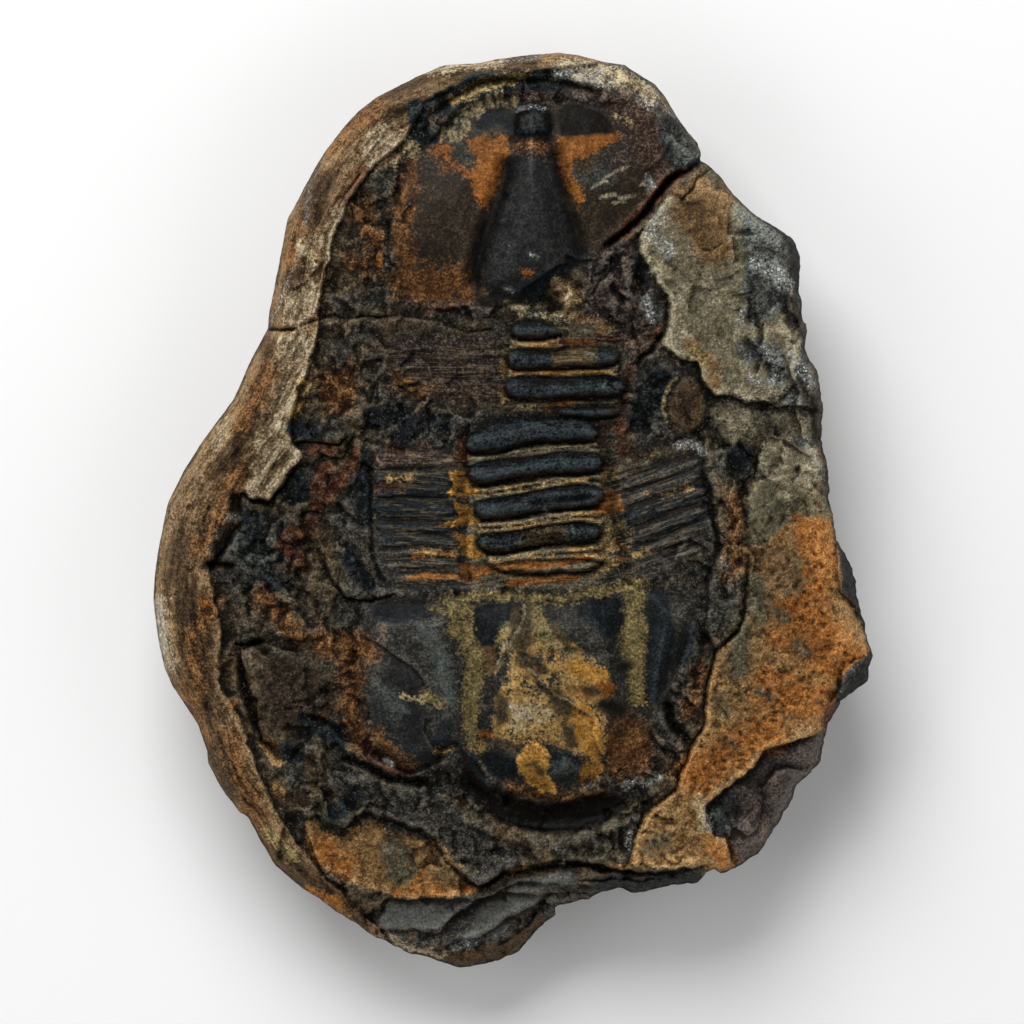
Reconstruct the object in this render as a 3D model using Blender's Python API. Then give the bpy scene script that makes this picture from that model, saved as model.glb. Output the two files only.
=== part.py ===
"""Hoekaspis yahuari, a trilobite lying on the split face of its stone nodule, as one solid piece of rock.

The plan was laid out over a view straight down on the fossil, so plan positions and widths are in
pixels of that view, u to the right and v towards the tail. Heights are in millimetres. The mesh itself
is in metres, with the head towards +Y and the flat rest face at z = 0.
"""

from collections import defaultdict
from dataclasses import dataclass
from math import dist

import bpy
import numpy as np
from mathutils import Vector, noise
from mathutils.geometry import delaunay_2d_cdt

# Driving dimensions in metres: the rock from head edge to tail edge, and its rest face to the thorax
ROCK_LENGTH = 0.161
FACE_HEIGHT = 0.031

# The same length in the plan, and the middle of the rock there
PLAN_LENGTH = 920
PLAN_MIDDLE = np.array((512.5, 511.5))
PIXEL = ROCK_LENGTH / PLAN_LENGTH
MILLIMETRE = 0.001

# Mesh spacing in pixels: along the rim and along crests and edges, then over the trilobite and over the stone
RIM_STEP = 15
GUIDE_STEP = 11
FOSSIL_STEP = 12
STONE_STEP = 20
# The least room that a spot of each kind keeps to those before it, and that all keep to the rim
RIM_GAP = 5
GUIDE_GAP = 4.5
FOSSIL_GAP = 8
STONE_GAP = 13
RIM_CLEAR = 2.5
CELL = 13
# Rows of spots close inside the rim, as shares of the way out from the middle
RIM_ROWS = (0.99, 0.975, 0.95)

ROCK_COLOUR = (0.075, 0.058, 0.043, 1)
ROCK_ROUGHNESS = 0.75

# Clockwise from the head, as seen from above
ROCK_OUTLINE = (
    (560, 52), (580, 55), (600, 60), (625, 64), (640, 74), (655, 83), (665, 95), (680, 120), (698, 142),
    (702, 153), (700, 159), (710, 165), (720, 175), (735, 195), (755, 214), (785, 231), (795, 240),
    (802, 256), (800, 285), (803, 315), (808, 332), (806, 342), (810, 360), (818, 372), (824, 410),
    (822, 440), (828, 465), (830, 500), (838, 540), (848, 555), (857, 580), (858, 595), (862, 612),
    (870, 640), (873, 658), (869, 680), (862, 687), (842, 702), (830, 725), (824, 748), (821, 763),
    (812, 773), (798, 788), (791, 806), (780, 822), (775, 830), (768, 846), (755, 858), (744, 864),
    (729, 873), (721, 874), (714, 870), (707, 873), (700, 883), (680, 885), (662, 889), (645, 894),
    (622, 891), (604, 893), (590, 901), (574, 904), (560, 907), (555, 911), (556, 918), (545, 924),
    (527, 945), (519, 954), (499, 963), (483, 968), (461, 971), (445, 967), (425, 960), (408, 957),
    (385, 943), (375, 940), (358, 927), (335, 913), (320, 901), (298, 888), (274, 867), (260, 843),
    (247, 818), (238, 813), (220, 789), (207, 764), (206, 752), (197, 725), (172, 688), (163, 668),
    (156, 635), (152, 600), (153, 575), (163, 518), (168, 500), (183, 470), (205, 436), (232, 400),
    (250, 360), (267, 328), (269, 310), (275, 280), (287, 218), (310, 175), (325, 150), (340, 130),
    (358, 110), (375, 97), (400, 84), (420, 74), (445, 64), (480, 62), (500, 58), (530, 54),
)

# Around the rim by compass bearing, with the head at 0 and the right side at 90: the width of the rounded
# shoulder in pixels, its drop in millimetres, and how far the rest face stands in from the rim in pixels
RIM = (
    (0, 42, 6, 125), (20, 38, 6, 105), (38, 16, 5, 80), (60, 14, 5, 75), (90, 18, 6, 75), (108, 30, 8, 90),
    (122, 28, 7, 85), (140, 26, 5, 70), (165, 20, 4, 80), (178, 40, 6, 120), (200, 45, 6, 135),
    (225, 60, 9, 150), (250, 78, 12, 165), (300, 80, 12, 165), (330, 62, 10, 150), (360, 42, 6, 125),
)

# Broad form of the split face: u, v, and millimetres above or below the thorax
FACE_LEVELS = (
    (560, 75, -1), (470, 85, 0), (400, 110, 0.5), (350, 170, 1.5), (310, 240, 2), (290, 330, 2),
    (275, 410, 2.5), (235, 460, 2), (195, 520, 1), (180, 600, 0.5), (190, 680, 0), (225, 760, -1.5),
    (280, 840, -4), (340, 900, -6), (440, 940, -7.5), (430, 150, 1.5), (520, 150, 2.5), (610, 150, 1.5),
    (430, 220, 2.5), (530, 230, 3), (620, 210, 1), (680, 130, -1), (400, 270, 1), (360, 250, 1),
    (400, 380, 0), (560, 360, 1), (650, 380, -1), (540, 450, 2), (420, 480, 0.5), (650, 500, 0.5),
    (540, 540, 2), (400, 560, 0.5), (680, 560, 0), (270, 530, -2), (260, 620, -2), (310, 600, -1),
    (280, 700, -0.5), (340, 460, -0.5), (330, 400, 0), (330, 760, -2.5), (420, 680, 1), (550, 650, 2),
    (550, 740, 2), (650, 650, 1), (440, 750, 0.5), (620, 760, 0), (550, 815, -3), (620, 800, -2.5),
    (470, 800, -3), (400, 860, -4.5), (500, 850, -3.5), (500, 920, -6.5), (600, 880, -5.5),
    (720, 230, -1.5), (760, 300, -2), (740, 420, -1), (800, 560, -2), (770, 600, -1), (830, 640, -3),
    (720, 720, -1.5), (780, 700, -2.5), (680, 830, -3.5), (790, 260, -3), (815, 400, -3), (825, 480, -3),
    (760, 800, -5), (690, 190, -2),
)
LEVEL_REACH = 42



def ease(value):
    """0 below 0, 1 above 1 and a smooth S between."""
    value = np.clip(value, 0, 1)
    return value * value * (3 - 2 * value)


def dome(value):
    """Quarter-circle rise from 0 at 0 to 1 at 1."""
    return np.sqrt(1 - (1 - np.clip(value, 0, 1)) ** 2)


def distance(spots, path):
    """From each spot to the nearest point of a path."""
    path = np.asarray(path, float)
    nearest = np.full(len(spots), np.inf)
    for start, end in zip(path[:-1], path[1:]):
        side = end - start
        share = np.clip((spots - start) @ side / (side @ side), 0, 1)
        nearest = np.minimum(nearest, np.hypot(*(spots - start - share[:, None] * side).T))
    return nearest


def inside(spots, outline):
    """Whether each spot lies within a closed outline, by the even-odd rule."""
    corners = np.asarray(outline, float)
    within = np.zeros(len(spots), bool)
    for (u0, v0), (u1, v1) in zip(corners, np.roll(corners, -1, axis=0)):
        if v0 != v1:
            spans = (spots[:, 1] < v0) != (spots[:, 1] < v1)
            within ^= spans & (spots[:, 0] < u0 + (spots[:, 1] - v0) * (u1 - u0) / (v1 - v0))
    return within


def closed(outline):
    """The outline as a path that ends where it starts."""
    return tuple(map(tuple, outline)) + (tuple(outline[0]),)


def depth_inside(spots, outline):
    """Distance to a closed outline, positive inside it."""
    gap = distance(spots, closed(outline))
    return np.where(inside(spots, outline), gap, -gap)


def beside(path, shift):
    """A path moved sideways by a shift in pixels."""
    along = np.gradient(np.array(path, float), axis=0)
    sideways = np.column_stack((-along[:, 1], along[:, 0])) / np.hypot(*along.T)[:, None]
    return tuple(map(tuple, path + shift * sideways))


@dataclass
class Mound:
    """A rounded swelling within an outline, at its full rise a run inside the edge."""

    outline: tuple
    rise: float
    run: float

    def height(self, spots):
        return self.rise * dome(depth_inside(spots, self.outline) / self.run)

    def guides(self):
        return [closed(self.outline)]


@dataclass
class Plate:
    """A flat sheet of stone, proud or sunk, with a steep edge."""

    outline: tuple
    rise: float
    edge: float = 5

    def height(self, spots):
        return self.rise * ease(0.5 + depth_inside(spots, self.outline) / self.edge)

    def guides(self):
        return [closed(self.outline)]


@dataclass
class Roll:
    """A rounded roll along a path."""

    path: tuple
    half_width: float
    rise: float

    def height(self, spots):
        return self.rise * dome(1 - distance(spots, self.path) / self.half_width)

    def guides(self):
        return [beside(self.path, share * self.half_width) for share in (-0.8, 0, 0.8)]


@dataclass
class Cut:
    """A crack, furrow or trench with sloping sides along a path."""

    path: tuple
    half_width: float
    depth: float

    def height(self, spots):
        return -self.depth * ease(1 - distance(spots, self.path) / self.half_width)

    def guides(self):
        return [beside(self.path, share * self.half_width) for share in (-1, 0, 1)]


# The worn crust of the nodule stands proud outside the split face, on the head side and the left
CRUST_RISE = 1.4
SPLIT_FACE = Plate(
    ((600, 62), (560, 68), (500, 74), (460, 84), (425, 100), (405, 140), (375, 165), (345, 205), (330, 255),
     (320, 300), (310, 360), (298, 390), (285, 425), (300, 460), (280, 490), (240, 492), (237, 520),
     (207, 564), (221, 635), (219, 682), (240, 720), (270, 800), (300, 850), (350, 905), (380, 930),
     (420, 1000), (900, 1000), (950, 500), (900, 0), (640, 0)),
    rise=-CRUST_RISE,
)

# Cephalon: a low shield with a border roll at the front, and the long tapering glabella between two furrows
CEPHALON = Mound(
    ((540, 86), (600, 92), (650, 115), (690, 160), (670, 185), (640, 215), (600, 255), (575, 300),
     (520, 310), (440, 305), (370, 300), (340, 260), (350, 210), (385, 170), (430, 130), (480, 95)),
    rise=1.4,
    run=60,
)
BORDER_ROLL = Roll(((430, 105), (450, 92), (480, 78), (520, 73), (565, 76), (600, 84)), 10, 0.8)
BORDER_FURROW = Cut(
    ((420, 160), (430, 143), (445, 125), (465, 105), (490, 90), (520, 84), (560, 88), (610, 100)),
    half_width=9,
    depth=1,
)
GLABELLA = Mound(
    ((530, 103), (545, 108), (552, 125), (553, 150), (560, 190), (568, 225), (574, 255), (560, 275),
     (540, 292), (522, 303), (500, 303), (482, 293), (478, 275), (488, 240), (500, 200), (508, 165),
     (512, 135), (516, 110)),
    rise=2.2,
    run=26,
)
GLABELLA_FURROWS = (
    Cut(((510, 140), (505, 170), (494, 205), (484, 240), (475, 275), (480, 300)), 12, 0.8),
    Cut(((555, 138), (558, 170), (570, 210), (580, 250), (575, 285)), 12, 0.8),
)
CHEEK_PIT = Plate(((545, 272), (565, 266), (582, 285), (575, 312), (548, 316), (538, 298)), rise=-1.2, edge=8)

# Thorax: the lobes of the nine rings that show, each as its crest line and half width
RING_CRESTS = (
    (((515, 330), (540, 330), (558, 332)), 9),
    (((512, 358), (545, 361), (580, 360), (612, 357)), 11),
    (((512, 388), (545, 391), (580, 390), (612, 388)), 11),
    (((540, 410), (575, 412), (612, 411)), 8),
    (((476, 444), (500, 436), (540, 431), (575, 431), (592, 436)), 15),
    (((480, 478), (510, 472), (545, 467), (580, 465), (596, 470)), 13),
    (((483, 513), (515, 508), (550, 501), (584, 499)), 12),
    (((484, 545), (512, 543), (545, 535), (572, 530), (596, 534)), 10),
    (((484, 573), (520, 569), (560, 565), (598, 566)), 10),
)
RINGS = tuple(Roll(crest, half_width, rise=1.7) for crest, half_width in RING_CRESTS)
AXIAL_FURROWS = (
    Cut(((466, 440), (460, 480), (463, 520), (462, 560), (470, 590)), 10, 0.8),
    Cut(((604, 430), (610, 470), (612, 510), (622, 550), (628, 580)), 10, 0.8),
)
# Ribs of the pleurae: left of the axis, upper left, and right of the axis
PLEURAL_CRESTS = (
    ((378, 459), (410, 457), (452, 456)), ((376, 472), (410, 469), (452, 472)),
    ((376, 490), (412, 488), (452, 492)), ((378, 510), (412, 509), (452, 512)),
    ((378, 528), (412, 526), (448, 530)), ((380, 545), (415, 542), (452, 546)),
    ((386, 562), (420, 562), (458, 564)), ((395, 580), (425, 579), (462, 582)),
    ((395, 345), (440, 348), (495, 352)), ((392, 362), (440, 366), (498, 372)),
    ((392, 380), (440, 384), (498, 392)), ((405, 400), (450, 403), (505, 408)),
    ((622, 478), (655, 469), (690, 459)), ((622, 497), (655, 488), (698, 476)),
    ((625, 514), (660, 503), (704, 492)), ((628, 531), (665, 519), (708, 507)),
    ((630, 548), (665, 540), (706, 526)), ((634, 566), (668, 560), (706, 548)),
)
PLEURAE = tuple(Roll(crest, 7, rise=0.6) for crest in PLEURAL_CRESTS)

# Pygidium: the raised axis, the smooth side fields, the deep hollow behind them and the ridge behind that
PYGIDIUM_AXIS = Mound(
    ((473, 612), (500, 600), (545, 600), (590, 594), (616, 598), (625, 625), (627, 675), (629, 723),
     (620, 752), (602, 772), (583, 787), (557, 796), (529, 792), (503, 783), (486, 770), (478, 745),
     (480, 698), (484, 660), (475, 640)),
    rise=2.6,
    run=32,
)
LEFT_FIELD = Mound(
    ((365, 602), (460, 600), (466, 640), (472, 710), (470, 748), (446, 760), (421, 775), (394, 771),
     (362, 750), (350, 700), (352, 640)),
    rise=1.8,
    run=30,
)
RIGHT_FIELD = Mound(
    ((645, 588), (700, 592), (706, 632), (684, 642), (674, 670), (664, 700), (672, 735), (648, 728),
    (640, 690)),
    rise=1.8,
    run=30,
)
REAR_HOLLOW = Cut(((452, 778), (480, 800), (515, 815), (550, 820), (590, 813), (630, 800)), 26, 2)
REAR_RIDGE = Roll(((470, 815), (505, 832), (547, 842), (590, 834), (628, 815)), 10, 0.7)

# The turned-under margin of the shell to the right of the thorax, and a flake that stands beside the pygidium
MARGIN_BAND = Mound(
    ((704, 433), (726, 450), (742, 498), (747, 529), (749, 559), (742, 587), (744, 607), (736, 629),
     (719, 654), (704, 629), (708, 607), (709, 574), (721, 546), (714, 521), (709, 493), (703, 466)),
    rise=1.4,
    run=14,
)
FLAKE = Plate(((689, 640), (704, 637), (703, 662), (687, 687), (671, 699), (667, 688), (678, 659)), rise=1.3)

# Broken plates of the stone
PLATES = (
    # Grey-green stone right of the head, over the low ground beside the thorax
    Plate(((690, 158), (660, 205), (640, 235), (655, 280), (668, 320), (665, 355), (700, 358), (710, 395),
           (745, 400), (900, 420), (900, 100)), rise=1.2),
    # A thin sheet on it, beside the crack
    Plate(((690, 176), (712, 185), (733, 200), (727, 235), (760, 235), (860, 200), (760, 140)), rise=0.6),
    # Orange slope right of the tail
    Plate(((790, 500), (760, 545), (745, 600), (716, 651), (706, 690), (704, 729), (689, 750), (681, 785),
           (646, 809), (633, 830), (627, 868), (720, 880), (900, 760), (900, 500)), rise=0.9),
    # Two sheets left of the thorax
    Plate(((291, 545), (313, 543), (334, 584), (354, 596), (395, 590), (380, 560), (372, 500), (340, 510),
           (310, 525)), rise=0.9),
    Plate(((320, 318), (400, 312), (470, 318), (480, 336), (390, 340), (350, 400), (346, 436), (290, 434),
           (300, 380)), rise=0.7),
    # Dark slab left of the pygidium
    Plate(((238, 649), (262, 645), (301, 660), (320, 690), (318, 715), (300, 735), (282, 761), (263, 737),
           (247, 680)), rise=1.2),
    # Everything below the step across the tail end
    Plate(((285, 818), (300, 814), (327, 825), (346, 826), (352, 814), (368, 813), (389, 822), (421, 833),
           (437, 849), (453, 871), (472, 885), (515, 868), (558, 861), (622, 871), (708, 866), (760, 880),
           (760, 1000), (250, 1000)), rise=-1.3),
    # Sheets that step down to the tail edge
    Plate(((362, 915), (385, 902), (440, 899), (482, 903), (520, 882), (600, 888), (640, 1000), (380, 1000)),
          rise=-1.3),
    Plate(((376, 931), (437, 933), (460, 912), (490, 898), (570, 893), (620, 1000), (380, 1000)), rise=-1.2),
    Plate(((400, 955), (440, 951), (455, 940), (490, 935), (540, 915), (600, 1000), (400, 1000)), rise=-1.2),
)

# The shell-shaped break at the lower right: a step, then a hollow that falls away to the rim
CHIP_OUTLINE = (
    (835, 729), (796, 739), (769, 750), (742, 777), (710, 798), (705, 828), (724, 838), (732, 860),
    (744, 880), (800, 880), (870, 760),
)
CHIP = (Plate(CHIP_OUTLINE, rise=-2.2, edge=8), Mound(CHIP_OUTLINE, rise=-4.5, run=70))

# Open cracks and the trenches along broken edges
CRACKS = (
    Cut(((708, 154), (690, 168), (660, 183), (640, 210), (600, 250)), 6, 2.6),
    Cut(((262, 329), (296, 330), (320, 320), (350, 315)), 5, 1.8),
    Cut(((232, 498), (230, 530), (214, 562)), 9, 1.8),
    Cut(((236, 652), (244, 690), (254, 722), (266, 748)), 9, 1.4),
    Cut(((742, 600), (716, 650), (704, 690), (702, 730), (680, 786), (645, 808), (628, 840)), 6, 1.2),
    Cut(((703, 466), (712, 505), (719, 546), (706, 590)), 6, 1.0),
    Cut(((372, 450), (370, 500), (372, 550), (392, 590)), 6, 0.8),
)

HEAD = (CEPHALON, BORDER_ROLL, BORDER_FURROW, *GLABELLA_FURROWS, GLABELLA, CHEEK_PIT)
THORAX = (*RINGS, *AXIAL_FURROWS, *PLEURAE)
TAIL = (PYGIDIUM_AXIS, LEFT_FIELD, RIGHT_FIELD, REAR_HOLLOW, REAR_RIDGE)
STONE = (SPLIT_FACE, MARGIN_BAND, FLAKE, *PLATES, *CHIP, *CRACKS)
FORMS = (*HEAD, *THORAX, *TAIL, *STONE)

# Lumps of the broken stone in millimetres, their size in pixels, and the smooth fossil that has none
LUMP_HEIGHT = 0.55
LUMP_SIZE = 34
SMOOTH_FOSSIL = (
    (540, 70), (650, 110), (690, 160), (600, 260), (620, 420), (705, 440), (745, 560), (700, 700),
    (680, 780), (560, 810), (450, 790), (355, 750), (360, 600), (370, 440), (380, 320), (340, 250),
    (400, 130),
)
SMOOTH_BORDER = 40

# The wall between the rim and the rest face: rows of points, how far it is worn in and its hollows' size
WALL_ROWS = 6
WALL_WEAR = 5
WALL_HOLLOW = 40
REST_SMOOTHING = 4


def resample(path, step):
    """Points at an even step along a path, with its end left out where it closes on its start."""
    corners = np.array(path, float)
    run = np.concatenate(((0,), np.cumsum(np.hypot(*np.diff(corners, axis=0).T))))
    stops = np.linspace(0, run[-1], max(2, round(run[-1] / step) + 1))
    if path[0] == path[-1]:
        stops = stops[:-1]
    return np.column_stack([np.interp(stops, run, corners[:, axis]) for axis in (0, 1)])


def rim_profile(spots):
    """Shoulder width, drop and rest-face inset at each spot's bearing."""
    bearings = np.degrees(np.arctan2(spots[:, 0] - PLAN_MIDDLE[0], PLAN_MIDDLE[1] - spots[:, 1])) % 360
    rows = np.array(RIM, float)
    return [np.interp(bearings, rows[:, 0], rows[:, column]) for column in (1, 2, 3)]


def broad_face(spots):
    """The slow swell of the split face, blended between the levels."""
    total = np.zeros(len(spots))
    weights = np.zeros(len(spots))
    for u, v, level in FACE_LEVELS:
        weight = np.exp(-((spots[:, 0] - u) ** 2 + (spots[:, 1] - v) ** 2) / (2 * LEVEL_REACH**2))
        total += weight * level
        weights += weight
    return total / weights


def fractal(places, layer):
    """Smooth noise between about -1 and 1 at each place; the layer picks one pattern."""
    return np.array([noise.fractal((u, v, layer), 1, 2, 3) for u, v in places])


def lumps(spots):
    """The uneven break of the stone, fading out over the fossil."""
    stone = ease(0.5 - depth_inside(spots, SMOOTH_FOSSIL) / SMOOTH_BORDER)
    return LUMP_HEIGHT * stone * fractal(spots / LUMP_SIZE, layer=0.5)


def face_height(spots, rim_gap):
    """Height of the upper face in metres; rim_gap is the distance to the rock's outline in pixels."""
    relief = CRUST_RISE + broad_face(spots) + lumps(spots) + sum(form.height(spots) for form in FORMS)
    shoulder, drop, _ = rim_profile(spots)
    relief -= drop * (1 - dome(rim_gap / shoulder))
    return FACE_HEIGHT + relief * MILLIMETRE


def to_metres(spots, heights):
    """Plan pixels and heights as points of the model."""
    away = (spots - PLAN_MIDDLE) * PIXEL
    return np.column_stack((away[:, 0], -away[:, 1], heights))


def honeycomb(step):
    """Evenly spread spots over the whole plan."""
    low = np.min(ROCK_OUTLINE, axis=0)
    high = np.max(ROCK_OUTLINE, axis=0)
    rows = np.arange(low[1], high[1], step * np.sqrt(0.75))
    columns = np.arange(low[0], high[0], step)
    return np.array([(u + step * 0.5 * (row % 2), v) for row, v in enumerate(rows) for u in columns])


def guide_spots():
    """Spots along crests, furrows and broken edges, so that the triangles follow them."""
    lines = [line for form in FORMS for line in form.guides()]
    return np.concatenate([resample(line, GUIDE_STEP) for line in lines])


def spread_out(groups):
    """Joins groups of (spots, gap) in order, leaving out each spot nearer than its gap to one before."""
    cells = defaultdict(list)
    for spots, gap in groups:
        for spot in spots:
            column, row = (int(value // CELL) for value in spot)
            around = [other for i in (-1, 0, 1) for j in (-1, 0, 1) for other in cells[column + i, row + j]]
            if all(dist(spot, other) >= gap for other in around):
                cells[column, row].append(tuple(spot))
    return np.array([spot for cell in cells.values() for spot in cell])


def face_spots(rim):
    """All spots of the upper face within the rim."""
    fossil = honeycomb(FOSSIL_STEP)
    fossil = fossil[inside(fossil, SMOOTH_FOSSIL)]
    groups = [(PLAN_MIDDLE + (rim - PLAN_MIDDLE) * share, RIM_GAP) for share in RIM_ROWS]
    groups += [(guide_spots(), GUIDE_GAP), (fossil, FOSSIL_GAP), (honeycomb(STONE_STEP), STONE_GAP)]
    spots = spread_out(groups)
    return spots[inside(spots, rim) & (distance(spots, closed(rim)) > RIM_CLEAR)]


def soften(ring):
    """Rounds a closed ring by averaging each point with its neighbours."""
    shifts = range(-REST_SMOOTHING, REST_SMOOTHING + 1)
    return sum(np.roll(ring, shift, axis=0) for shift in shifts) / len(shifts)


def wall_row(rim, rim_heights, share):
    """One row of the wall: share 0 is the rim and 1 the edge of the rest face."""
    turn = share * np.pi / 2
    inset = rim_profile(rim)[2] * (1 - np.cos(turn))
    if share < 1:
        inset += WALL_WEAR * (1 + fractal(rim / WALL_HOLLOW, share * WALL_ROWS))
    away = rim + (soften(rim) - rim) * share - PLAN_MIDDLE
    worn = away * (1 - inset / np.hypot(*away.T))[:, None]
    return to_metres(PLAN_MIDDLE + worn, rim_heights * (1 - np.sin(turn)))


def build_rock():
    """The upper face, the wall and the flat rest face, closed into one mesh."""
    rim = resample(closed(ROCK_OUTLINE), RIM_STEP)
    count = len(rim)
    spots = np.vstack((rim, face_spots(rim)))
    triangles = delaunay_2d_cdt([Vector(spot) for spot in spots], [], [list(range(count))], 1, 0)[2]
    face = to_metres(spots, face_height(spots, distance(spots, closed(rim))))
    rows = [wall_row(rim, face[:count, 2], (row + 1) / WALL_ROWS) for row in range(WALL_ROWS)]
    # The plan counts v downwards, so its triangles are turned over to face up
    faces = [tuple(reversed(triangle)) for triangle in triangles]
    starts = [0] + [len(spots) + row * count for row in range(WALL_ROWS)]
    for upper, lower in zip(starts[:-1], starts[1:]):
        for index in range(count):
            after = (index + 1) % count
            faces.append((upper + index, upper + after, lower + after))
            faces.append((upper + index, lower + after, lower + index))
    faces.append(tuple(range(starts[-1], starts[-1] + count)))
    mesh = bpy.data.meshes.new("trilobite_fossil")
    mesh.from_pydata(np.vstack([face] + rows).tolist(), [], faces)
    return mesh


def rock_material():
    """Dark, dull stone."""
    material = bpy.data.materials.new("fossil_stone")
    material.use_nodes = True
    shader = material.node_tree.nodes["Principled BSDF"]
    shader.inputs["Base Color"].default_value = ROCK_COLOUR
    shader.inputs["Roughness"].default_value = ROCK_ROUGHNESS
    shader.inputs["Metallic"].default_value = 0
    return material


def main():
    for leftover in list(bpy.data.objects):
        bpy.data.objects.remove(leftover, do_unlink=True)
    collection = bpy.data.collections.new("hoekaspis_yahuari_trilobite")
    bpy.context.scene.collection.children.link(collection)
    rock = bpy.data.objects.new("trilobite_fossil", build_rock())
    rock.data.materials.append(rock_material())
    collection.objects.link(rock)


main()
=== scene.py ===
"""Looks of the Hoekaspis yahuari fossil: one fine mesh of the rock, its mineral colours, and a plain studio.

The face was laid out over a view straight down on the fossil, so places and widths on it are in pixels of
that view, u to the right and v towards the tail. Heights are in millimetres. What is built is in metres,
with the head towards +Y and the rest face at z = 0.
"""

from collections import defaultdict
from dataclasses import dataclass
from math import cos, dist, pi, sin
from random import Random

import bpy
import numpy as np
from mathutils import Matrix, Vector, noise
from mathutils.geometry import delaunay_2d_cdt


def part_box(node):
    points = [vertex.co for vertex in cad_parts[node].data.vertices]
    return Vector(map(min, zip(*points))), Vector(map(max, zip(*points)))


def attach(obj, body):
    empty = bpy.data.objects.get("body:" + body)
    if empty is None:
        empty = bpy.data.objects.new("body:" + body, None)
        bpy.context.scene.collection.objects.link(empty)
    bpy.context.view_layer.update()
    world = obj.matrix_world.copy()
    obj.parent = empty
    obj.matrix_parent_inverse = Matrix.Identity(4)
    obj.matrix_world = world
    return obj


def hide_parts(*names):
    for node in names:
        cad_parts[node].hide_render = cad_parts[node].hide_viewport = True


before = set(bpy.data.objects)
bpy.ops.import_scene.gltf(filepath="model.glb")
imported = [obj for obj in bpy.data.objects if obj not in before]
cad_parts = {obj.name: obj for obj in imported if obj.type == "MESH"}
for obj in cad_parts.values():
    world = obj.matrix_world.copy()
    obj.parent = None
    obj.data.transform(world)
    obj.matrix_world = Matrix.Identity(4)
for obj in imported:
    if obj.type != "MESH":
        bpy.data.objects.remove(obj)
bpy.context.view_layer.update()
ROCK_LOW, ROCK_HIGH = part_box("trilobite_fossil")

# The rock's length in the plan and in metres, its middle in the plan, and the thorax above the rest face
PLAN_LENGTH = 920
PLAN_MIDDLE = np.array((512.5, 511.5))
PIXEL = (ROCK_HIGH.y - ROCK_LOW.y) / PLAN_LENGTH
FACE_HEIGHT = 0.031
MILLIMETRE = 0.001

# Spacing of the mesh in pixels: rim, edges of forms, trilobite, stone, and the underside
RIM_STEP = 3.3
GUIDE_STEP = 2.8
FOSSIL_STEP = 2.45
STONE_STEP = 3.3
REST_STEP = 11
# The least room in pixels between spots along edges of forms, round them, and along the rim
GUIDE_GAP = 1.3
GUIDE_ROOM = 1.7
RIM_ROOM = 2.2
# Side of the cells in which near spots are looked up
CELL = 4


def pairs(*numbers):
    """A row of numbers as (u, v) points."""
    return tuple(zip(numbers[::2], numbers[1::2]))


# Clockwise from the head, as seen from above
ROCK_OUTLINE = pairs(
    560, 52, 580, 55, 600, 60, 625, 64, 640, 74, 655, 83, 665, 95, 680, 120, 698, 142, 702, 153, 700, 159,
    710, 165, 720, 175, 735, 195, 755, 214, 785, 231, 795, 240, 802, 256, 800, 285, 803, 315, 808, 332,
    806, 342, 810, 360, 818, 372, 824, 410, 822, 440, 828, 465, 830, 500, 838, 540, 848, 555, 857, 580,
    858, 595, 862, 612, 870, 640, 873, 658, 869, 680, 862, 687, 842, 702, 830, 725, 824, 748, 821, 763,
    812, 773, 798, 788, 791, 806, 780, 822, 775, 830, 768, 846, 755, 858, 744, 864, 729, 873, 721, 874,
    714, 870, 707, 873, 700, 883, 680, 885, 662, 889, 645, 894, 622, 891, 604, 893, 590, 901, 574, 904,
    560, 907, 555, 911, 556, 918, 545, 924, 527, 945, 519, 954, 499, 963, 483, 968, 461, 971, 445, 967,
    425, 960, 408, 957, 385, 943, 375, 940, 358, 927, 335, 913, 320, 901, 298, 888, 274, 867, 260, 843,
    247, 818, 238, 813, 220, 789, 207, 764, 206, 752, 197, 725, 172, 688, 163, 668, 156, 635, 152, 600,
    153, 575, 163, 518, 168, 500, 183, 470, 205, 436, 232, 400, 250, 360, 267, 328, 269, 310, 275, 280,
    287, 218, 310, 175, 325, 150, 340, 130, 358, 110, 375, 97, 400, 84, 420, 74, 445, 64, 480, 62, 500, 58,
    530, 54,
)

# Around the rim by compass bearing, with the head at 0 and the right side at 90: the width of the rounded
# shoulder in pixels, its drop in millimetres, how far the rest face stands in from the rim in pixels, and
# how broken the wall is, from 0 for worn crust to 1 for open layers
RIM = (
    (0, 42, 6, 125, 0), (20, 38, 6, 105, 0), (38, 16, 5, 80, 0.7), (60, 14, 5, 75, 1), (90, 18, 6, 75, 1),
    (108, 30, 8, 90, 1), (122, 28, 7, 85, 1), (140, 26, 5, 70, 1), (165, 20, 4, 80, 1),
    (178, 40, 6, 120, 0.8), (200, 45, 6, 135, 0.4), (225, 60, 9, 150, 0), (250, 78, 12, 165, 0),
    (300, 80, 12, 165, 0), (330, 62, 10, 150, 0), (360, 42, 6, 125, 0),
)

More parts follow.
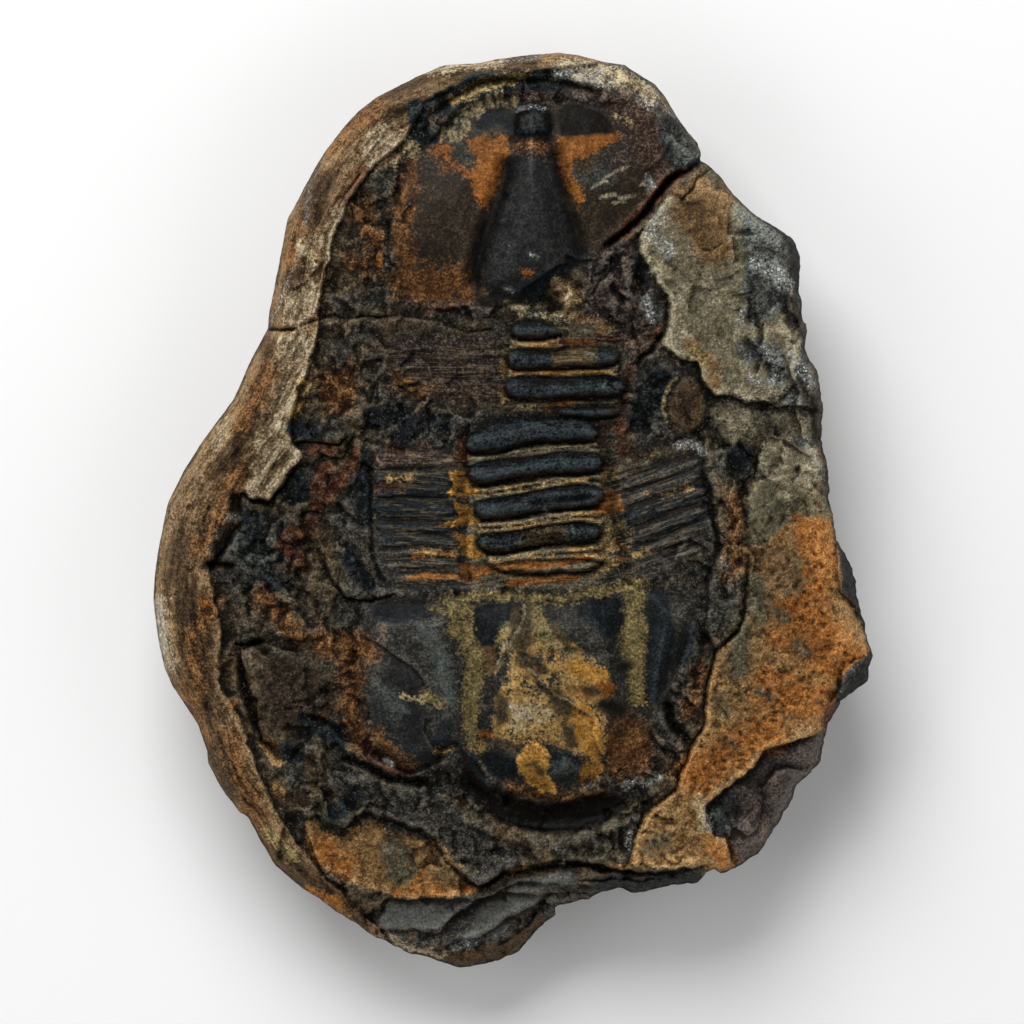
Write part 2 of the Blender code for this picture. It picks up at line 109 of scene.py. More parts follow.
# Broad form of the split face: u, v, and millimetres above or below the thorax
FACE_LEVELS = (
    (560, 75, -1), (470, 85, 0), (400, 110, 0.5), (350, 170, 1.5), (310, 240, 2), (290, 330, 2),
    (275, 410, 2.5), (235, 460, 2), (195, 520, 1), (180, 600, 0.5), (190, 680, 0), (225, 760, -1.5),
    (280, 840, -4), (340, 900, -6), (440, 940, -7.5), (430, 150, 1.5), (520, 150, 2.5), (610, 150, 1.5),
    (430, 220, 2.5), (530, 230, 3), (620, 210, 1), (680, 130, -1), (400, 270, 1), (360, 250, 1),
    (400, 380, 0), (560, 360, 1), (650, 380, -1), (540, 450, 2), (420, 480, 0.5), (650, 500, 0.5),
    (540, 540, 2), (400, 560, 0.5), (680, 560, 0), (270, 530, -2), (260, 620, -2), (310, 600, -1),
    (280, 700, -0.5), (340, 460, -0.5), (330, 400, 0), (330, 760, -2.5), (420, 680, 1), (550, 650, 2),
    (550, 740, 2), (650, 650, 1), (440, 750, 0.5), (620, 760, 0), (550, 815, -3), (620, 800, -2.5),
    (470, 800, -3), (400, 860, -4.5), (500, 850, -3.5), (500, 920, -6.5), (600, 880, -5.5),
    (720, 230, -1.5), (760, 300, -2), (740, 420, -1), (800, 560, -2), (770, 600, -1), (830, 640, -3),
    (720, 720, -1.5), (780, 700, -2.5), (680, 830, -3.5), (790, 260, -3), (815, 400, -3), (825, 480, -3),
    (760, 800, -5), (690, 190, -2),
)
LEVEL_REACH = 42


def ease(value):
    """0 below 0, 1 above 1 and a smooth S between."""
    value = np.clip(value, 0, 1)
    return value * value * (3 - 2 * value)


def dome(value):
    """Quarter-circle rise from 0 at 0 to 1 at 1."""
    return np.sqrt(1 - (1 - np.clip(value, 0, 1)) ** 2)


def trace(spots, path):
    """From each spot to a path: the gap, the side (1 is the right hand) and the share of the path passed."""
    corners = np.asarray(path, float)
    edges = np.diff(corners, axis=0)
    lengths = np.hypot(*edges.T)
    starts = np.cumsum(lengths) - lengths
    gap = np.full(len(spots), np.inf)
    side = np.zeros(len(spots))
    passed = np.zeros(len(spots))
    for corner, edge, length, start in zip(corners[:-1], edges, lengths, starts):
        share = np.clip((spots - corner) @ edge / length**2, 0, 1)
        away = spots - corner - share[:, None] * edge
        here = np.hypot(*away.T)
        closer = here < gap
        gap[closer] = here[closer]
        side[closer] = np.sign(edge[0] * away[:, 1] - edge[1] * away[:, 0])[closer]
        passed[closer] = (start + share * length)[closer]
    return gap, side, passed / lengths.sum()


def inside(spots, outline):
    """Whether each spot lies within a closed outline, by the even-odd rule."""
    corners = np.asarray(outline, float)
    within = np.zeros(len(spots), bool)
    for (u0, v0), (u1, v1) in zip(corners, np.roll(corners, -1, axis=0)):
        if v0 != v1:
            spans = (spots[:, 1] < v0) != (spots[:, 1] < v1)
            within ^= spans & (spots[:, 0] < u0 + (spots[:, 1] - v0) * (u1 - u0) / (v1 - v0))
    return within


def closed(outline):
    """The outline as a path that ends where it starts."""
    return tuple(map(tuple, outline)) + (tuple(outline[0]),)


def depth_inside(spots, outline):
    """Distance to a closed outline, positive inside it."""
    gap = trace(spots, closed(outline))[0]
    return np.where(inside(spots, outline), gap, -gap)


def beside(path, shift):
    """A path moved sideways by a shift in pixels."""
    along = np.gradient(np.array(path, float), axis=0)
    sideways = np.column_stack((-along[:, 1], along[:, 0])) / np.hypot(*along.T)[:, None]
    return tuple(map(tuple, path + shift * sideways))


def resample(path, step):
    """Points at an even step along a path, with its end left out where it closes on its start."""
    corners = np.array(path, float)
    run = np.concatenate(((0,), np.cumsum(np.hypot(*np.diff(corners, axis=0).T))))
    stops = np.linspace(0, run[-1], max(2, round(run[-1] / step) + 1))
    if path[0] == path[-1]:
        stops = stops[:-1]
    return np.column_stack([np.interp(stops, run, corners[:, axis]) for axis in (0, 1)])


def near(shape, spots):
    """The spots that a shape can reach."""
    low = np.min(shape.points, axis=0) - shape.margin
    high = np.max(shape.points, axis=0) + shape.margin
    return np.flatnonzero(((spots > low) & (spots < high)).all(axis=1))


@dataclass
class Mound:
    """A swelling within an outline, at its full rise a run inside the edge, round or soft there."""

    points: tuple
    rise: float
    run: float
    soft: bool = False
    margin = 0

    def height(self, spots):
        share = depth_inside(spots, self.points) / self.run
        return self.rise * (ease(share) if self.soft else dome(share))

    def guides(self):
        return [closed(self.points)]


@dataclass
class Plate:
    """A flat sheet of stone, proud or sunk, with a steep edge."""

    points: tuple
    rise: float
    edge: float = 2.4
    margin = 8

    def height(self, spots):
        return self.rise * ease(0.5 + depth_inside(spots, self.points) / self.edge)

    def guides(self):
        return [beside(closed(self.points), shift * self.edge) for shift in (-0.5, 0.5)]


@dataclass
class Roll:
    """A rounded roll along a path."""

    points: tuple
    half_width: float
    rise: float

    @property
    def margin(self):
        return self.half_width

    def height(self, spots):
        return self.rise * dome(1 - trace(spots, self.points)[0] / self.half_width)

    def guides(self):
        return [self.points]


@dataclass
class Cut:
    """A crack, furrow or trench along a path, running out at both ends."""

    points: tuple
    half_width: float
    depth: float

    @property
    def margin(self):
        return self.half_width

    def height(self, spots):
        gap, _, passed = trace(spots, self.points)
        return -self.depth * ease(1 - gap / self.half_width) * ends(passed)

    def guides(self):
        return [self.points] + [beside(self.points, side * self.half_width) for side in (-1, 1)]


@dataclass
class Ledge:
    """A broken edge: the ground on the right of the path drops away, and comes back over its reach."""

    points: tuple
    drop: float
    reach: float = 16

    @property
    def margin(self):
        return self.reach

    def height(self, spots):
        gap, side, passed = trace(spots, self.points)
        lower = ease(0.5 + side * gap / LEDGE_WIDTH)
        return -self.drop * lower * (1 - np.clip(gap / self.reach, 0, 1)) ** LEDGE_POWER * ends(passed)

    def guides(self):
        return [beside(self.points, side * LEDGE_WIDTH / 2) for side in (-1, 1)]


@dataclass
class Lobe:
    """A ring or rib between its head-side and tail-side edges, with the steeper flank towards the tail."""

    head_edge: tuple
    tail_edge: tuple
    rise: float
    margin = 0

    @property
    def points(self):
        return self.head_edge + self.tail_edge[::-1]

    def height(self, spots):
        head = np.interp(spots[:, 0], *np.transpose(self.head_edge))
        tail = np.interp(spots[:, 0], *np.transpose(self.tail_edge))
        width = np.maximum(tail - head, 0.01)
        share = np.clip((spots[:, 1] - head) / width, 0, 1)
        rising = np.sin(np.pi / 2 * np.minimum(share / LOBE_CREST, 1)) ** LOBE_POWER
        return self.rise * rising * dome((1 - share) / (1 - LOBE_CREST)) * dome(width / LOBE_FULL)

    def guides(self):
        return [self.head_edge, self.tail_edge]


# Width of a ledge's riser in pixels, and how fast the ground beyond it comes back
LEDGE_WIDTH = 1.8
LEDGE_POWER = 1.5
# Share of a line over which it runs out at each end
RUN_OUT = 0.12
# Where across its width a lobe is highest, how round its head side is, and the width that gives its full rise
LOBE_CREST = 0.6
LOBE_POWER = 0.8
LOBE_FULL = 11


def ends(passed):
    """1 along a path, running out to 0 at both ends."""
    return ease(np.minimum(passed, 1 - passed) / RUN_OUT)


def rib(crest, before, after, rise):
    """A lobe along a crest line that ends in points."""
    crest = tuple(crest)
    head_edge = crest[:1] + tuple((u, v - before) for u, v in crest[1:-1]) + crest[-1:]
    tail_edge = crest[:1] + tuple((u, v + after) for u, v in crest[1:-1]) + crest[-1:]
    return Lobe(head_edge, tail_edge, rise)


# The worn crust of the nodule stands proud outside the split face, on the head side and the left
CRUST_RISE = 1.4
SPLIT_OUTLINE = pairs(
    600, 62, 560, 68, 500, 74, 460, 84, 425, 100, 405, 140, 375, 165, 345, 205, 330, 255, 320, 300,
    316, 345, 308, 372, 297, 392, 290, 420, 292, 441, 302, 458, 286, 480, 268, 502, 240, 493, 237, 520,
    226, 544, 207, 564, 221, 635, 219, 682, 240, 720, 270, 800, 300, 850, 350, 905, 380, 930, 420, 1000,
    900, 1000, 950, 500, 900, 0, 640, 0,
)

# Cephalon: a low shield with a border roll at the front, and the long tapering glabella between two furrows
GLABELLA = pairs(
    532, 100, 546, 105, 553, 118, 553, 140, 558, 165, 564, 195, 572, 228, 580, 256, 566, 276, 548, 290,
    528, 302, 505, 305, 486, 298, 476, 284, 480, 255, 490, 226, 500, 196, 506, 165, 511, 138, 511, 116,
    519, 104,
)
HEAD = (
    Mound(pairs(540, 86, 600, 92, 650, 115, 690, 160, 670, 185, 640, 215, 600, 255, 575, 300, 520, 310,
                440, 305, 370, 300, 340, 260, 350, 210, 385, 170, 430, 130, 480, 95), rise=1.6, run=70,
          soft=True),
    # Border of the head: two rolls and the furrow between them
    Roll(pairs(424, 112, 436, 98, 458, 84, 485, 74, 522, 70, 565, 74, 600, 84), 7, 0.7),
    Roll(pairs(440, 118, 462, 100, 488, 90, 524, 86, 562, 90, 600, 100), 6, 0.5),
    Cut(pairs(428, 122, 442, 106, 465, 91, 490, 81, 524, 78, 562, 82, 600, 91), 6, 0.9),
    Cut(pairs(425, 150, 440, 134, 455, 116, 478, 104, 505, 98, 520, 97), 6, 0.6),
    Cut(pairs(508, 150, 503, 176, 493, 208, 482, 240, 474, 272, 474, 296), 16, 1.5),
    Cut(pairs(557, 140, 561, 170, 570, 205, 580, 240, 584, 268), 13, 1.0),
    Mound(GLABELLA, rise=2.6, run=34, soft=True),
    # Front lobe of the glabella and the furrow behind it
    Mound(pairs(513, 118, 520, 108, 535, 104, 548, 108, 553, 125, 550, 137, 530, 139, 514, 137), rise=1.1,
          run=12, soft=True),
    Cut(pairs(506, 142, 518, 139, 532, 138, 548, 139, 558, 142), 6, 0.4),
    # Faint furrows across it
    Cut(pairs(499, 196, 515, 202, 530, 202), 4, 0.14),
    Cut(pairs(494, 222, 512, 229, 532, 228), 4, 0.14),
    Cut(pairs(570, 205, 556, 211, 545, 211), 4, 0.12),
    Cut(pairs(488, 250, 505, 257, 524, 256), 4, 0.12),
    # Broken rear corner of the glabella, where the stone under it shows
    Mound(pairs(540, 286, 548, 276, 560, 270, 572, 266, 584, 282, 588, 312, 566, 322, 545, 318, 534, 300),
          rise=-0.9, run=12, soft=True),
    Ledge(pairs(574, 262, 560, 264, 548, 271, 536, 280, 526, 287, 514, 298), -0.7, 12),
    Mound(pairs(556, 284, 566, 278, 580, 284, 582, 300, 572, 312, 554, 308), rise=0.5, run=12, soft=True),
    # Pushed-up sliver behind the glabella and the rear margin
    Lobe(pairs(503, 306, 512, 302, 522, 302, 530, 306), pairs(503, 306, 512, 311, 522, 311, 530, 306), 0.7),
    Ledge(pairs(480, 302, 492, 305, 504, 307), 0.5, 7),
    Ledge(pairs(420, 306, 440, 309, 462, 309, 480, 312), 0.35, 8),
    # Low swellings of the cheeks
    Mound(pairs(408, 180, 440, 168, 470, 178, 484, 205, 476, 240, 462, 262, 430, 264, 404, 250, 396, 215),
          rise=0.6, run=26, soft=True),
    Mound(pairs(578, 205, 592, 176, 620, 160, 648, 166, 655, 186, 630, 212, 604, 236, 588, 240), rise=0.5,
          run=22, soft=True),
)

# Thorax: head-side and tail-side edge of each ring that shows
RING_EDGES = (
    (pairs(510, 331, 513, 325, 522, 321, 540, 321, 555, 326, 563, 333),
     pairs(510, 331, 513, 337, 522, 340, 540, 339, 555, 337, 563, 333)),
    (pairs(507, 359, 509, 352, 516, 348, 530, 348, 555, 350, 580, 348, 605, 346, 617, 349, 621, 357),
     pairs(507, 359, 509, 366, 517, 370, 530, 371, 556, 369, 580, 368, 600, 368, 616, 365, 621, 357)),
    (pairs(505, 387, 507, 380, 514, 376, 530, 375, 560, 377, 590, 375, 612, 375, 622, 379, 626, 386),
     pairs(505, 387, 507, 395, 515, 399, 528, 400, 550, 399, 580, 398, 608, 397, 621, 394, 626, 386)),
    (pairs(556, 412, 560, 408, 590, 407, 612, 407, 621, 412),
     pairs(556, 412, 562, 416, 590, 418, 612, 417, 621, 412)),
    (pairs(464, 446, 467, 438, 474, 431, 490, 423, 510, 419, 540, 416, 570, 417, 588, 421, 596, 427,
           599, 435),
     pairs(464, 446, 467, 451, 475, 453, 488, 454, 505, 451, 520, 446, 545, 442, 580, 442, 593, 441,
           599, 435)),
    (pairs(467, 474, 470, 466, 478, 462, 500, 459, 540, 456, 572, 451, 590, 451, 599, 455, 603, 464),
     pairs(467, 474, 470, 481, 477, 484, 487, 485, 502, 482, 520, 478, 545, 474, 580, 474, 596, 472,
           603, 464)),
    (pairs(473, 508, 476, 502, 483, 499, 500, 498, 520, 494, 550, 488, 578, 483, 594, 484, 602, 490,
           604, 497),
     pairs(473, 508, 476, 515, 484, 519, 496, 520, 515, 517, 545, 511, 580, 508, 596, 505, 604, 497)),
    (pairs(476, 542, 479, 536, 486, 533, 502, 533, 520, 530, 548, 525, 578, 522, 596, 524, 603, 530),
     pairs(476, 542, 479, 549, 488, 552, 500, 553, 520, 550, 548, 544, 580, 542, 597, 539, 603, 530)),
    (pairs(487, 566, 505, 562, 535, 560, 562, 559, 582, 559, 604, 564),
     pairs(487, 566, 505, 572, 535, 574, 562, 573, 585, 572, 604, 564)),
)
RING_RISES = (1.5, 1.8, 1.9, 1.1, 2.3, 2.2, 2, 1.7, 0.9)
RINGS = tuple(Lobe(head, tail, rise) for (head, tail), rise in zip(RING_EDGES, RING_RISES))
# A narrow trench follows the tail side of each ring: its shift and half width in pixels, and its depth
TRENCH_SHIFT = 1
TRENCH_WIDTH = 3
TRENCH_DEPTH = 0.5
TRENCHES = tuple(
    Cut(tuple((u, v + TRENCH_SHIFT) for u, v in tail), TRENCH_WIDTH, TRENCH_DEPTH) for _, tail in RING_EDGES
)
# A path between two edges stops short of their ends by some room in pixels, and has so many points
BETWEEN_ROOM = 3
BETWEEN_STOPS = 9


def between(upper, lower, share):
    """A path from left to right at a share of the way from one edge down to another."""
    left = max(upper[0][0], lower[0][0]) + BETWEEN_ROOM
    right = min(upper[-1][0], lower[-1][0]) - BETWEEN_ROOM
    stops = np.linspace(left, right, BETWEEN_STOPS)
    above, below = (np.interp(stops, *np.transpose(edge)) for edge in (upper, lower))
    return tuple(zip(stops, above + share * (below - above)))


# Thin half rings show in the gaps, apart from the gap where the fourth ring meets the fifth
GAPS = tuple((RING_EDGES[index][1], RING_EDGES[index + 1][0]) for index in (0, 1, 4, 5, 6, 7))
HALF_RING_PLACES = (0.42, 0.8)
HALF_RING_WIDTH = 2.6
HALF_RING_RISE = 1
HALF_RINGS = tuple(
    Roll(between(*gap, place), HALF_RING_WIDTH, HALF_RING_RISE) for gap in GAPS for place in HALF_RING_PLACES
)
# The last two rings are worn down beside their left ends
WORN_RINGS = (
    Cut(pairs(528, 504, 560, 501, 596, 497), 10, 1.1),
    Cut(pairs(520, 541, 540, 539, 566, 536), 10, 1.3),
)
AXIAL_FURROWS = (
    Cut(pairs(466, 440, 460, 480, 463, 520, 462, 560, 470, 590), 10, 0.8),
    Cut(pairs(604, 430, 610, 470, 612, 510, 622, 550, 628, 580), 10, 0.8),
)
# Ribs of the pleurae: crest, room before and after it, and rise
PLEURAE = tuple(
    rib(crest, before, after, 0.8 * rise) for crest, before, after, rise in (
        (((373, 459), (380, 459), (412, 457), (440, 458), (460, 460)), 9, 10, 0.8),
        (((372, 478), (380, 478), (412, 477), (445, 478), (456, 480)), 6, 7, 0.55),
        (((372, 491), (380, 491), (412, 490), (445, 491), (456, 493)), 5, 6, 0.5),
        (((373, 508), (380, 508), (412, 508), (445, 509), (458, 512)), 8, 9, 0.9),
        (((374, 526), (382, 526), (412, 526), (445, 529), (458, 533)), 5, 6, 0.6),
        (((375, 539), (384, 539), (414, 539), (447, 541), (460, 545)), 5, 7, 0.7),
        (((378, 553), (388, 553), (415, 552), (448, 553), (462, 554)), 4, 4, 0.4),
        (((382, 565), (392, 565), (416, 564), (448, 564), (460, 566)), 4, 4, 0.45),
        (((388, 577), (398, 577), (418, 577), (448, 577), (464, 577)), 4, 5, 0.45),
        (((392, 346), (405, 346), (440, 347), (485, 350), (500, 351)), 7, 7, 0.3),
        (((390, 363), (405, 363), (440, 365), (485, 370), (502, 372)), 7, 7, 0.35),
        (((392, 381), (405, 381), (440, 384), (485, 389), (503, 392)), 7, 8, 0.35),
        (((615, 470), (625, 466), (655, 456), (685, 446), (700, 442)), 8, 8, 0.4),
        (((616, 487), (628, 483), (655, 474), (690, 463), (704, 459)), 6, 7, 0.5),
        (((620, 502), (630, 499), (658, 490), (692, 477), (706, 473)), 5, 6, 0.5),
        (((622, 520), (632, 517), (660, 506), (694, 493), (712, 487)), 8, 9, 0.9),
        (((632, 538), (640, 535), (664, 526), (696, 513), (712, 508)), 6, 6, 0.7),
        (((642, 551), (650, 548), (670, 541), (696, 530), (712, 525)), 5, 6, 0.6),
        (((656, 562), (664, 560), (680, 555), (698, 548), (710, 545)), 4, 5, 0.4),
    )
)

# Pygidium: the raised axis, the smooth side fields, the deep hollow behind them and the ridge behind that
TAIL = (
    Mound(pairs(473, 612, 500, 600, 545, 600, 590, 594, 616, 598, 625, 625, 627, 675, 629, 723, 620, 752,
                602, 772, 583, 787, 557, 796, 529, 792, 503, 783, 486, 770, 478, 745, 480, 698, 484, 660,
                475, 640), rise=2.6, run=34, soft=True),
    Mound(pairs(365, 602, 460, 600, 466, 640, 472, 710, 470, 748, 446, 760, 421, 775, 394, 771, 362, 750,
                350, 700, 352, 640), rise=1.8, run=28, soft=True),
    Mound(pairs(645, 588, 700, 592, 706, 632, 684, 642, 674, 670, 664, 700, 672, 735, 648, 728, 640, 690),
          rise=1.8, run=28, soft=True),
    Cut(pairs(440, 772, 452, 778, 480, 800, 515, 815, 550, 820, 590, 813, 630, 800, 650, 780), 26, 2.2),
    Roll(pairs(470, 815, 505, 832, 547, 842, 590, 834, 628, 815), 10, 0.7),
    # Worn ring joints of the axis
    Cut(pairs(480, 650, 505, 655, 545, 652, 590, 648, 622, 650), 7, 0.25),
    Cut(pairs(486, 690, 515, 694, 550, 690, 590, 690, 622, 694), 7, 0.2),
    # Crack across the axis and the sheet that flaked off beside it
    Cut(pairs(524, 604, 522, 620, 512, 641, 503, 657, 496, 671), 2.4, 0.35),
    Ledge(pairs(527, 668, 540, 681, 554, 695, 568, 701, 581, 710, 594, 717), 0.5, 12),
    Ledge(pairs(596, 716, 592, 730, 598, 748, 608, 768), 0.3, 8),
    Plate(pairs(525, 746, 533, 741, 546, 746, 551, 757, 548, 773, 554, 784, 557, 794, 544, 794, 528, 785,
                517, 770, 516, 759), rise=0.35),
    # Edges of the thin sheets on the left field
    Ledge(pairs(358, 634, 377, 642, 394, 655, 415, 668, 424, 680, 429, 693), 0.7, 22),
    Ledge(pairs(462, 744, 442, 752, 431, 746, 423, 730, 426, 714), 0.6, 14),
    Ledge(pairs(452, 753, 436, 766, 412, 775, 388, 766, 366, 748), 1.2, 20),
    Ledge(pairs(650, 727, 660, 745, 676, 752, 690, 748), 0.8, 14),
)

CHIP_OUTLINE = pairs(
    835, 729, 803, 739, 782, 744, 766, 750, 756, 765, 743, 776, 725, 789, 709, 804, 706, 820, 711, 834,
    725, 836, 729, 851, 732, 866, 744, 880, 800, 880, 870, 760,
)
STONE = (
    Plate(SPLIT_OUTLINE, rise=-CRUST_RISE),
    # Turned-under margin of the shell right of the thorax, and the flake beside the pygidium
    Mound(pairs(704, 433, 726, 450, 742, 498, 747, 529, 749, 559, 742, 587, 744, 607, 736, 629, 719, 654,
                704, 629, 708, 607, 709, 574, 721, 546, 714, 521, 709, 493, 703, 466), rise=1.4, run=14),
    Mound(pairs(684, 628, 694, 618, 702, 626, 703, 655, 690, 680, 674, 696, 667, 688, 678, 655), rise=1.2,
          run=9, soft=True),
    # Grey-green stone right of the head, and the thin sheet on it beside the crack
    Plate(pairs(690, 158, 660, 205, 640, 235, 641, 252, 653, 273, 666, 296, 668, 318, 662, 344, 679, 359,
                698, 360, 703, 380, 716, 397, 730, 394, 745, 400, 900, 420, 900, 100), rise=1.2),
    Plate(pairs(696, 174, 703, 184, 716, 189, 728, 190, 733, 198, 728, 212, 727, 235, 760, 235, 860, 200,
                760, 120), rise=-0.6),
    # Oval knob below it, and the plates beside it
    Mound(pairs(684, 376, 695, 375, 702, 386, 708, 401, 703, 422, 688, 438, 674, 432, 665, 406, 671, 391),
          rise=0.8, run=10),
    Mound(pairs(709, 414, 731, 403, 752, 401, 764, 412, 760, 435, 742, 448, 718, 442), rise=0.7, run=16,
          soft=True),
    Ledge(pairs(763, 445, 757, 470, 748, 482, 745, 500), 0.8, 16),
    # Orange slope right of the tail
    Plate(pairs(753, 483, 747, 505, 748, 560, 745, 611, 738, 632, 716, 651, 706, 690, 705, 729, 693, 745,
                683, 768, 676, 790, 659, 802, 646, 815, 638, 830, 630, 860, 627, 868, 720, 880, 900, 760,
                900, 440, 830, 452, 790, 474), rise=0.5, edge=7),
    # Sheets left of the thorax and the dark slab left of the pygidium, each high on one side
    Ledge(pairs(286, 546, 300, 542, 313, 543, 320, 552, 326, 574, 336, 590, 346, 597, 372, 599, 400, 592),
          1, 26),
    Ledge(pairs(480, 332, 467, 331, 440, 322, 400, 316, 360, 318, 336, 314, 320, 319, 300, 327), 0.7, 18),
    Ledge(pairs(288, 440, 310, 441, 340, 441, 350, 435), 0.8, 22),
    Ledge(pairs(310, 660, 300, 655, 262, 644, 238, 649, 247, 680, 257, 700, 262, 738, 284, 764), 1.2, 20),
    Mound(pairs(244, 655, 262, 650, 300, 664, 326, 690, 330, 720, 300, 742, 284, 752, 264, 730, 256, 700),
          rise=0.5, run=30, soft=True),
    # Everything below the step across the tail end
    Plate(pairs(285, 821, 287, 815, 296, 813, 307, 819, 318, 818, 328, 824, 346, 828, 352, 817, 361, 813,
                376, 819, 400, 825, 420, 832, 437, 845, 448, 863, 463, 878, 476, 887, 493, 878, 515, 868,
                558, 861, 580, 862, 622, 871, 655, 872, 708, 866, 760, 880, 760, 1000, 250, 1000),
          rise=-1.3),
    # Sheets that step down to the tail edge
    Plate(pairs(362, 915, 389, 901, 415, 899, 440, 899, 472, 901, 490, 896, 520, 882, 600, 888, 640, 1000,
                380, 1000), rise=-1.3),
    Plate(pairs(376, 931, 415, 932, 439, 933, 454, 917, 476, 901, 502, 893, 545, 897, 570, 893, 620, 1000,
                380, 1000), rise=-1.2),
    Plate(pairs(400, 955, 440, 951, 455, 940, 480, 938, 491, 930, 528, 908, 545, 900, 600, 1000, 400, 1000),
          rise=-1.2),
    # Shell-shaped break at the lower right: a step, then a hollow that falls away, with worn ripples
    Plate(CHIP_OUTLINE, rise=-1.5),
    Mound(CHIP_OUTLINE, rise=-3.6, run=80, soft=True),
    Ledge(pairs(815, 766, 803, 771, 790, 768, 778, 772, 768, 782, 762, 795), 0.9, 14),
    Ledge(pairs(729, 808, 733, 828, 745, 836, 758, 830, 764, 815, 762, 795, 770, 778), 0.6, 12),
    Roll(pairs(735, 790, 748, 800, 752, 815, 745, 828), 9, 0.5),
)

# Open cracks and the trenches along broken edges
CRACKS = (
    Cut(pairs(712, 148, 702, 160, 696, 165, 684, 172, 671, 179, 656, 197, 640, 219, 600, 252), 5.5, 3),
    Cut(pairs(716, 166, 713, 169, 700, 178, 690, 190, 679, 200), 2.4, 1),
    Cut(pairs(258, 329, 280, 329, 297, 330), 2.6, 2.6),
    Cut(pairs(296, 330, 305, 323, 320, 320, 336, 314, 345, 318, 375, 317, 402, 316), 2.4, 0.9),
    Cut(pairs(232, 490, 237, 500, 235, 520, 226, 543, 210, 562, 204, 570), 8, 2),
    Cut(pairs(204, 566, 220, 563, 236, 566), 6, 1.6),
    Cut(pairs(238, 490, 253, 500, 266, 504, 285, 484, 303, 462), 3, 1.2),
    Cut(pairs(288, 443, 305, 442, 340, 442, 350, 436), 2.6, 0.9),
    Cut(pairs(236, 652, 244, 690, 254, 722, 262, 738, 274, 752, 286, 764), 6, 1.6),
    Cut(pairs(232, 642, 248, 643, 264, 642), 4, 1.4),
    Cut(pairs(592, 296, 600, 282, 612, 270), 2.4, 0.6),
    Cut(pairs(540, 600, 566, 603, 590, 598), 2, 0.3),
    Cut(pairs(291, 544, 303, 541, 316, 543, 323, 556, 328, 580, 345, 598, 372, 600, 398, 593), 3, 1),
    Cut(pairs(748, 548, 749, 558, 746, 585, 746, 611, 738, 632, 716, 652, 705, 690, 704, 727, 692, 745,
              682, 768, 675, 791, 658, 803, 645, 815, 637, 831, 629, 862), 3.4, 1.3),
    Cut(pairs(703, 466, 712, 505, 719, 546, 706, 590), 6, 1.0),
    Cut(pairs(374, 446, 371, 470, 370, 500, 372, 550, 380, 576, 396, 591), 4, 0.8),
    Cut(pairs(284, 823, 286, 813, 297, 811, 307, 817, 318, 817, 328, 822, 345, 826), 3, 1),
    Cut(pairs(352, 816, 361, 812, 376, 818, 400, 824, 420, 831, 437, 844, 448, 862, 463, 877, 476, 888,
              493, 880, 515, 872), 3.2, 1.1),
    Cut(pairs(475, 890, 490, 882, 515, 874, 545, 868, 580, 866, 622, 873, 655, 875, 706, 868), 3.4, 1.3),
    Cut(pairs(560, 884, 600, 880, 640, 882, 690, 874), 2.4, 0.9),
    Cut(pairs(600, 872, 622, 866, 640, 864, 655, 872), 2.4, 0.7),
    Cut(pairs(440, 323, 455, 328, 467, 333, 480, 330, 497, 328), 2.2, 0.9),
    Cut(pairs(668, 300, 667, 322, 664, 336, 652, 346, 642, 356, 634, 368), 4.5, 1.6),
    Cut(pairs(340, 757, 365, 768, 388, 778, 412, 784, 432, 780), 7, 1.4),
    Cut(pairs(668, 700, 672, 722, 684, 736, 690, 748), 7, 1.2),
    Cut(pairs(362, 170, 353, 185, 342, 198, 350, 206, 355, 222), 2.4, 0.6),
    Cut(pairs(701, 251, 711, 249, 722, 242), 2, 0.6),
)

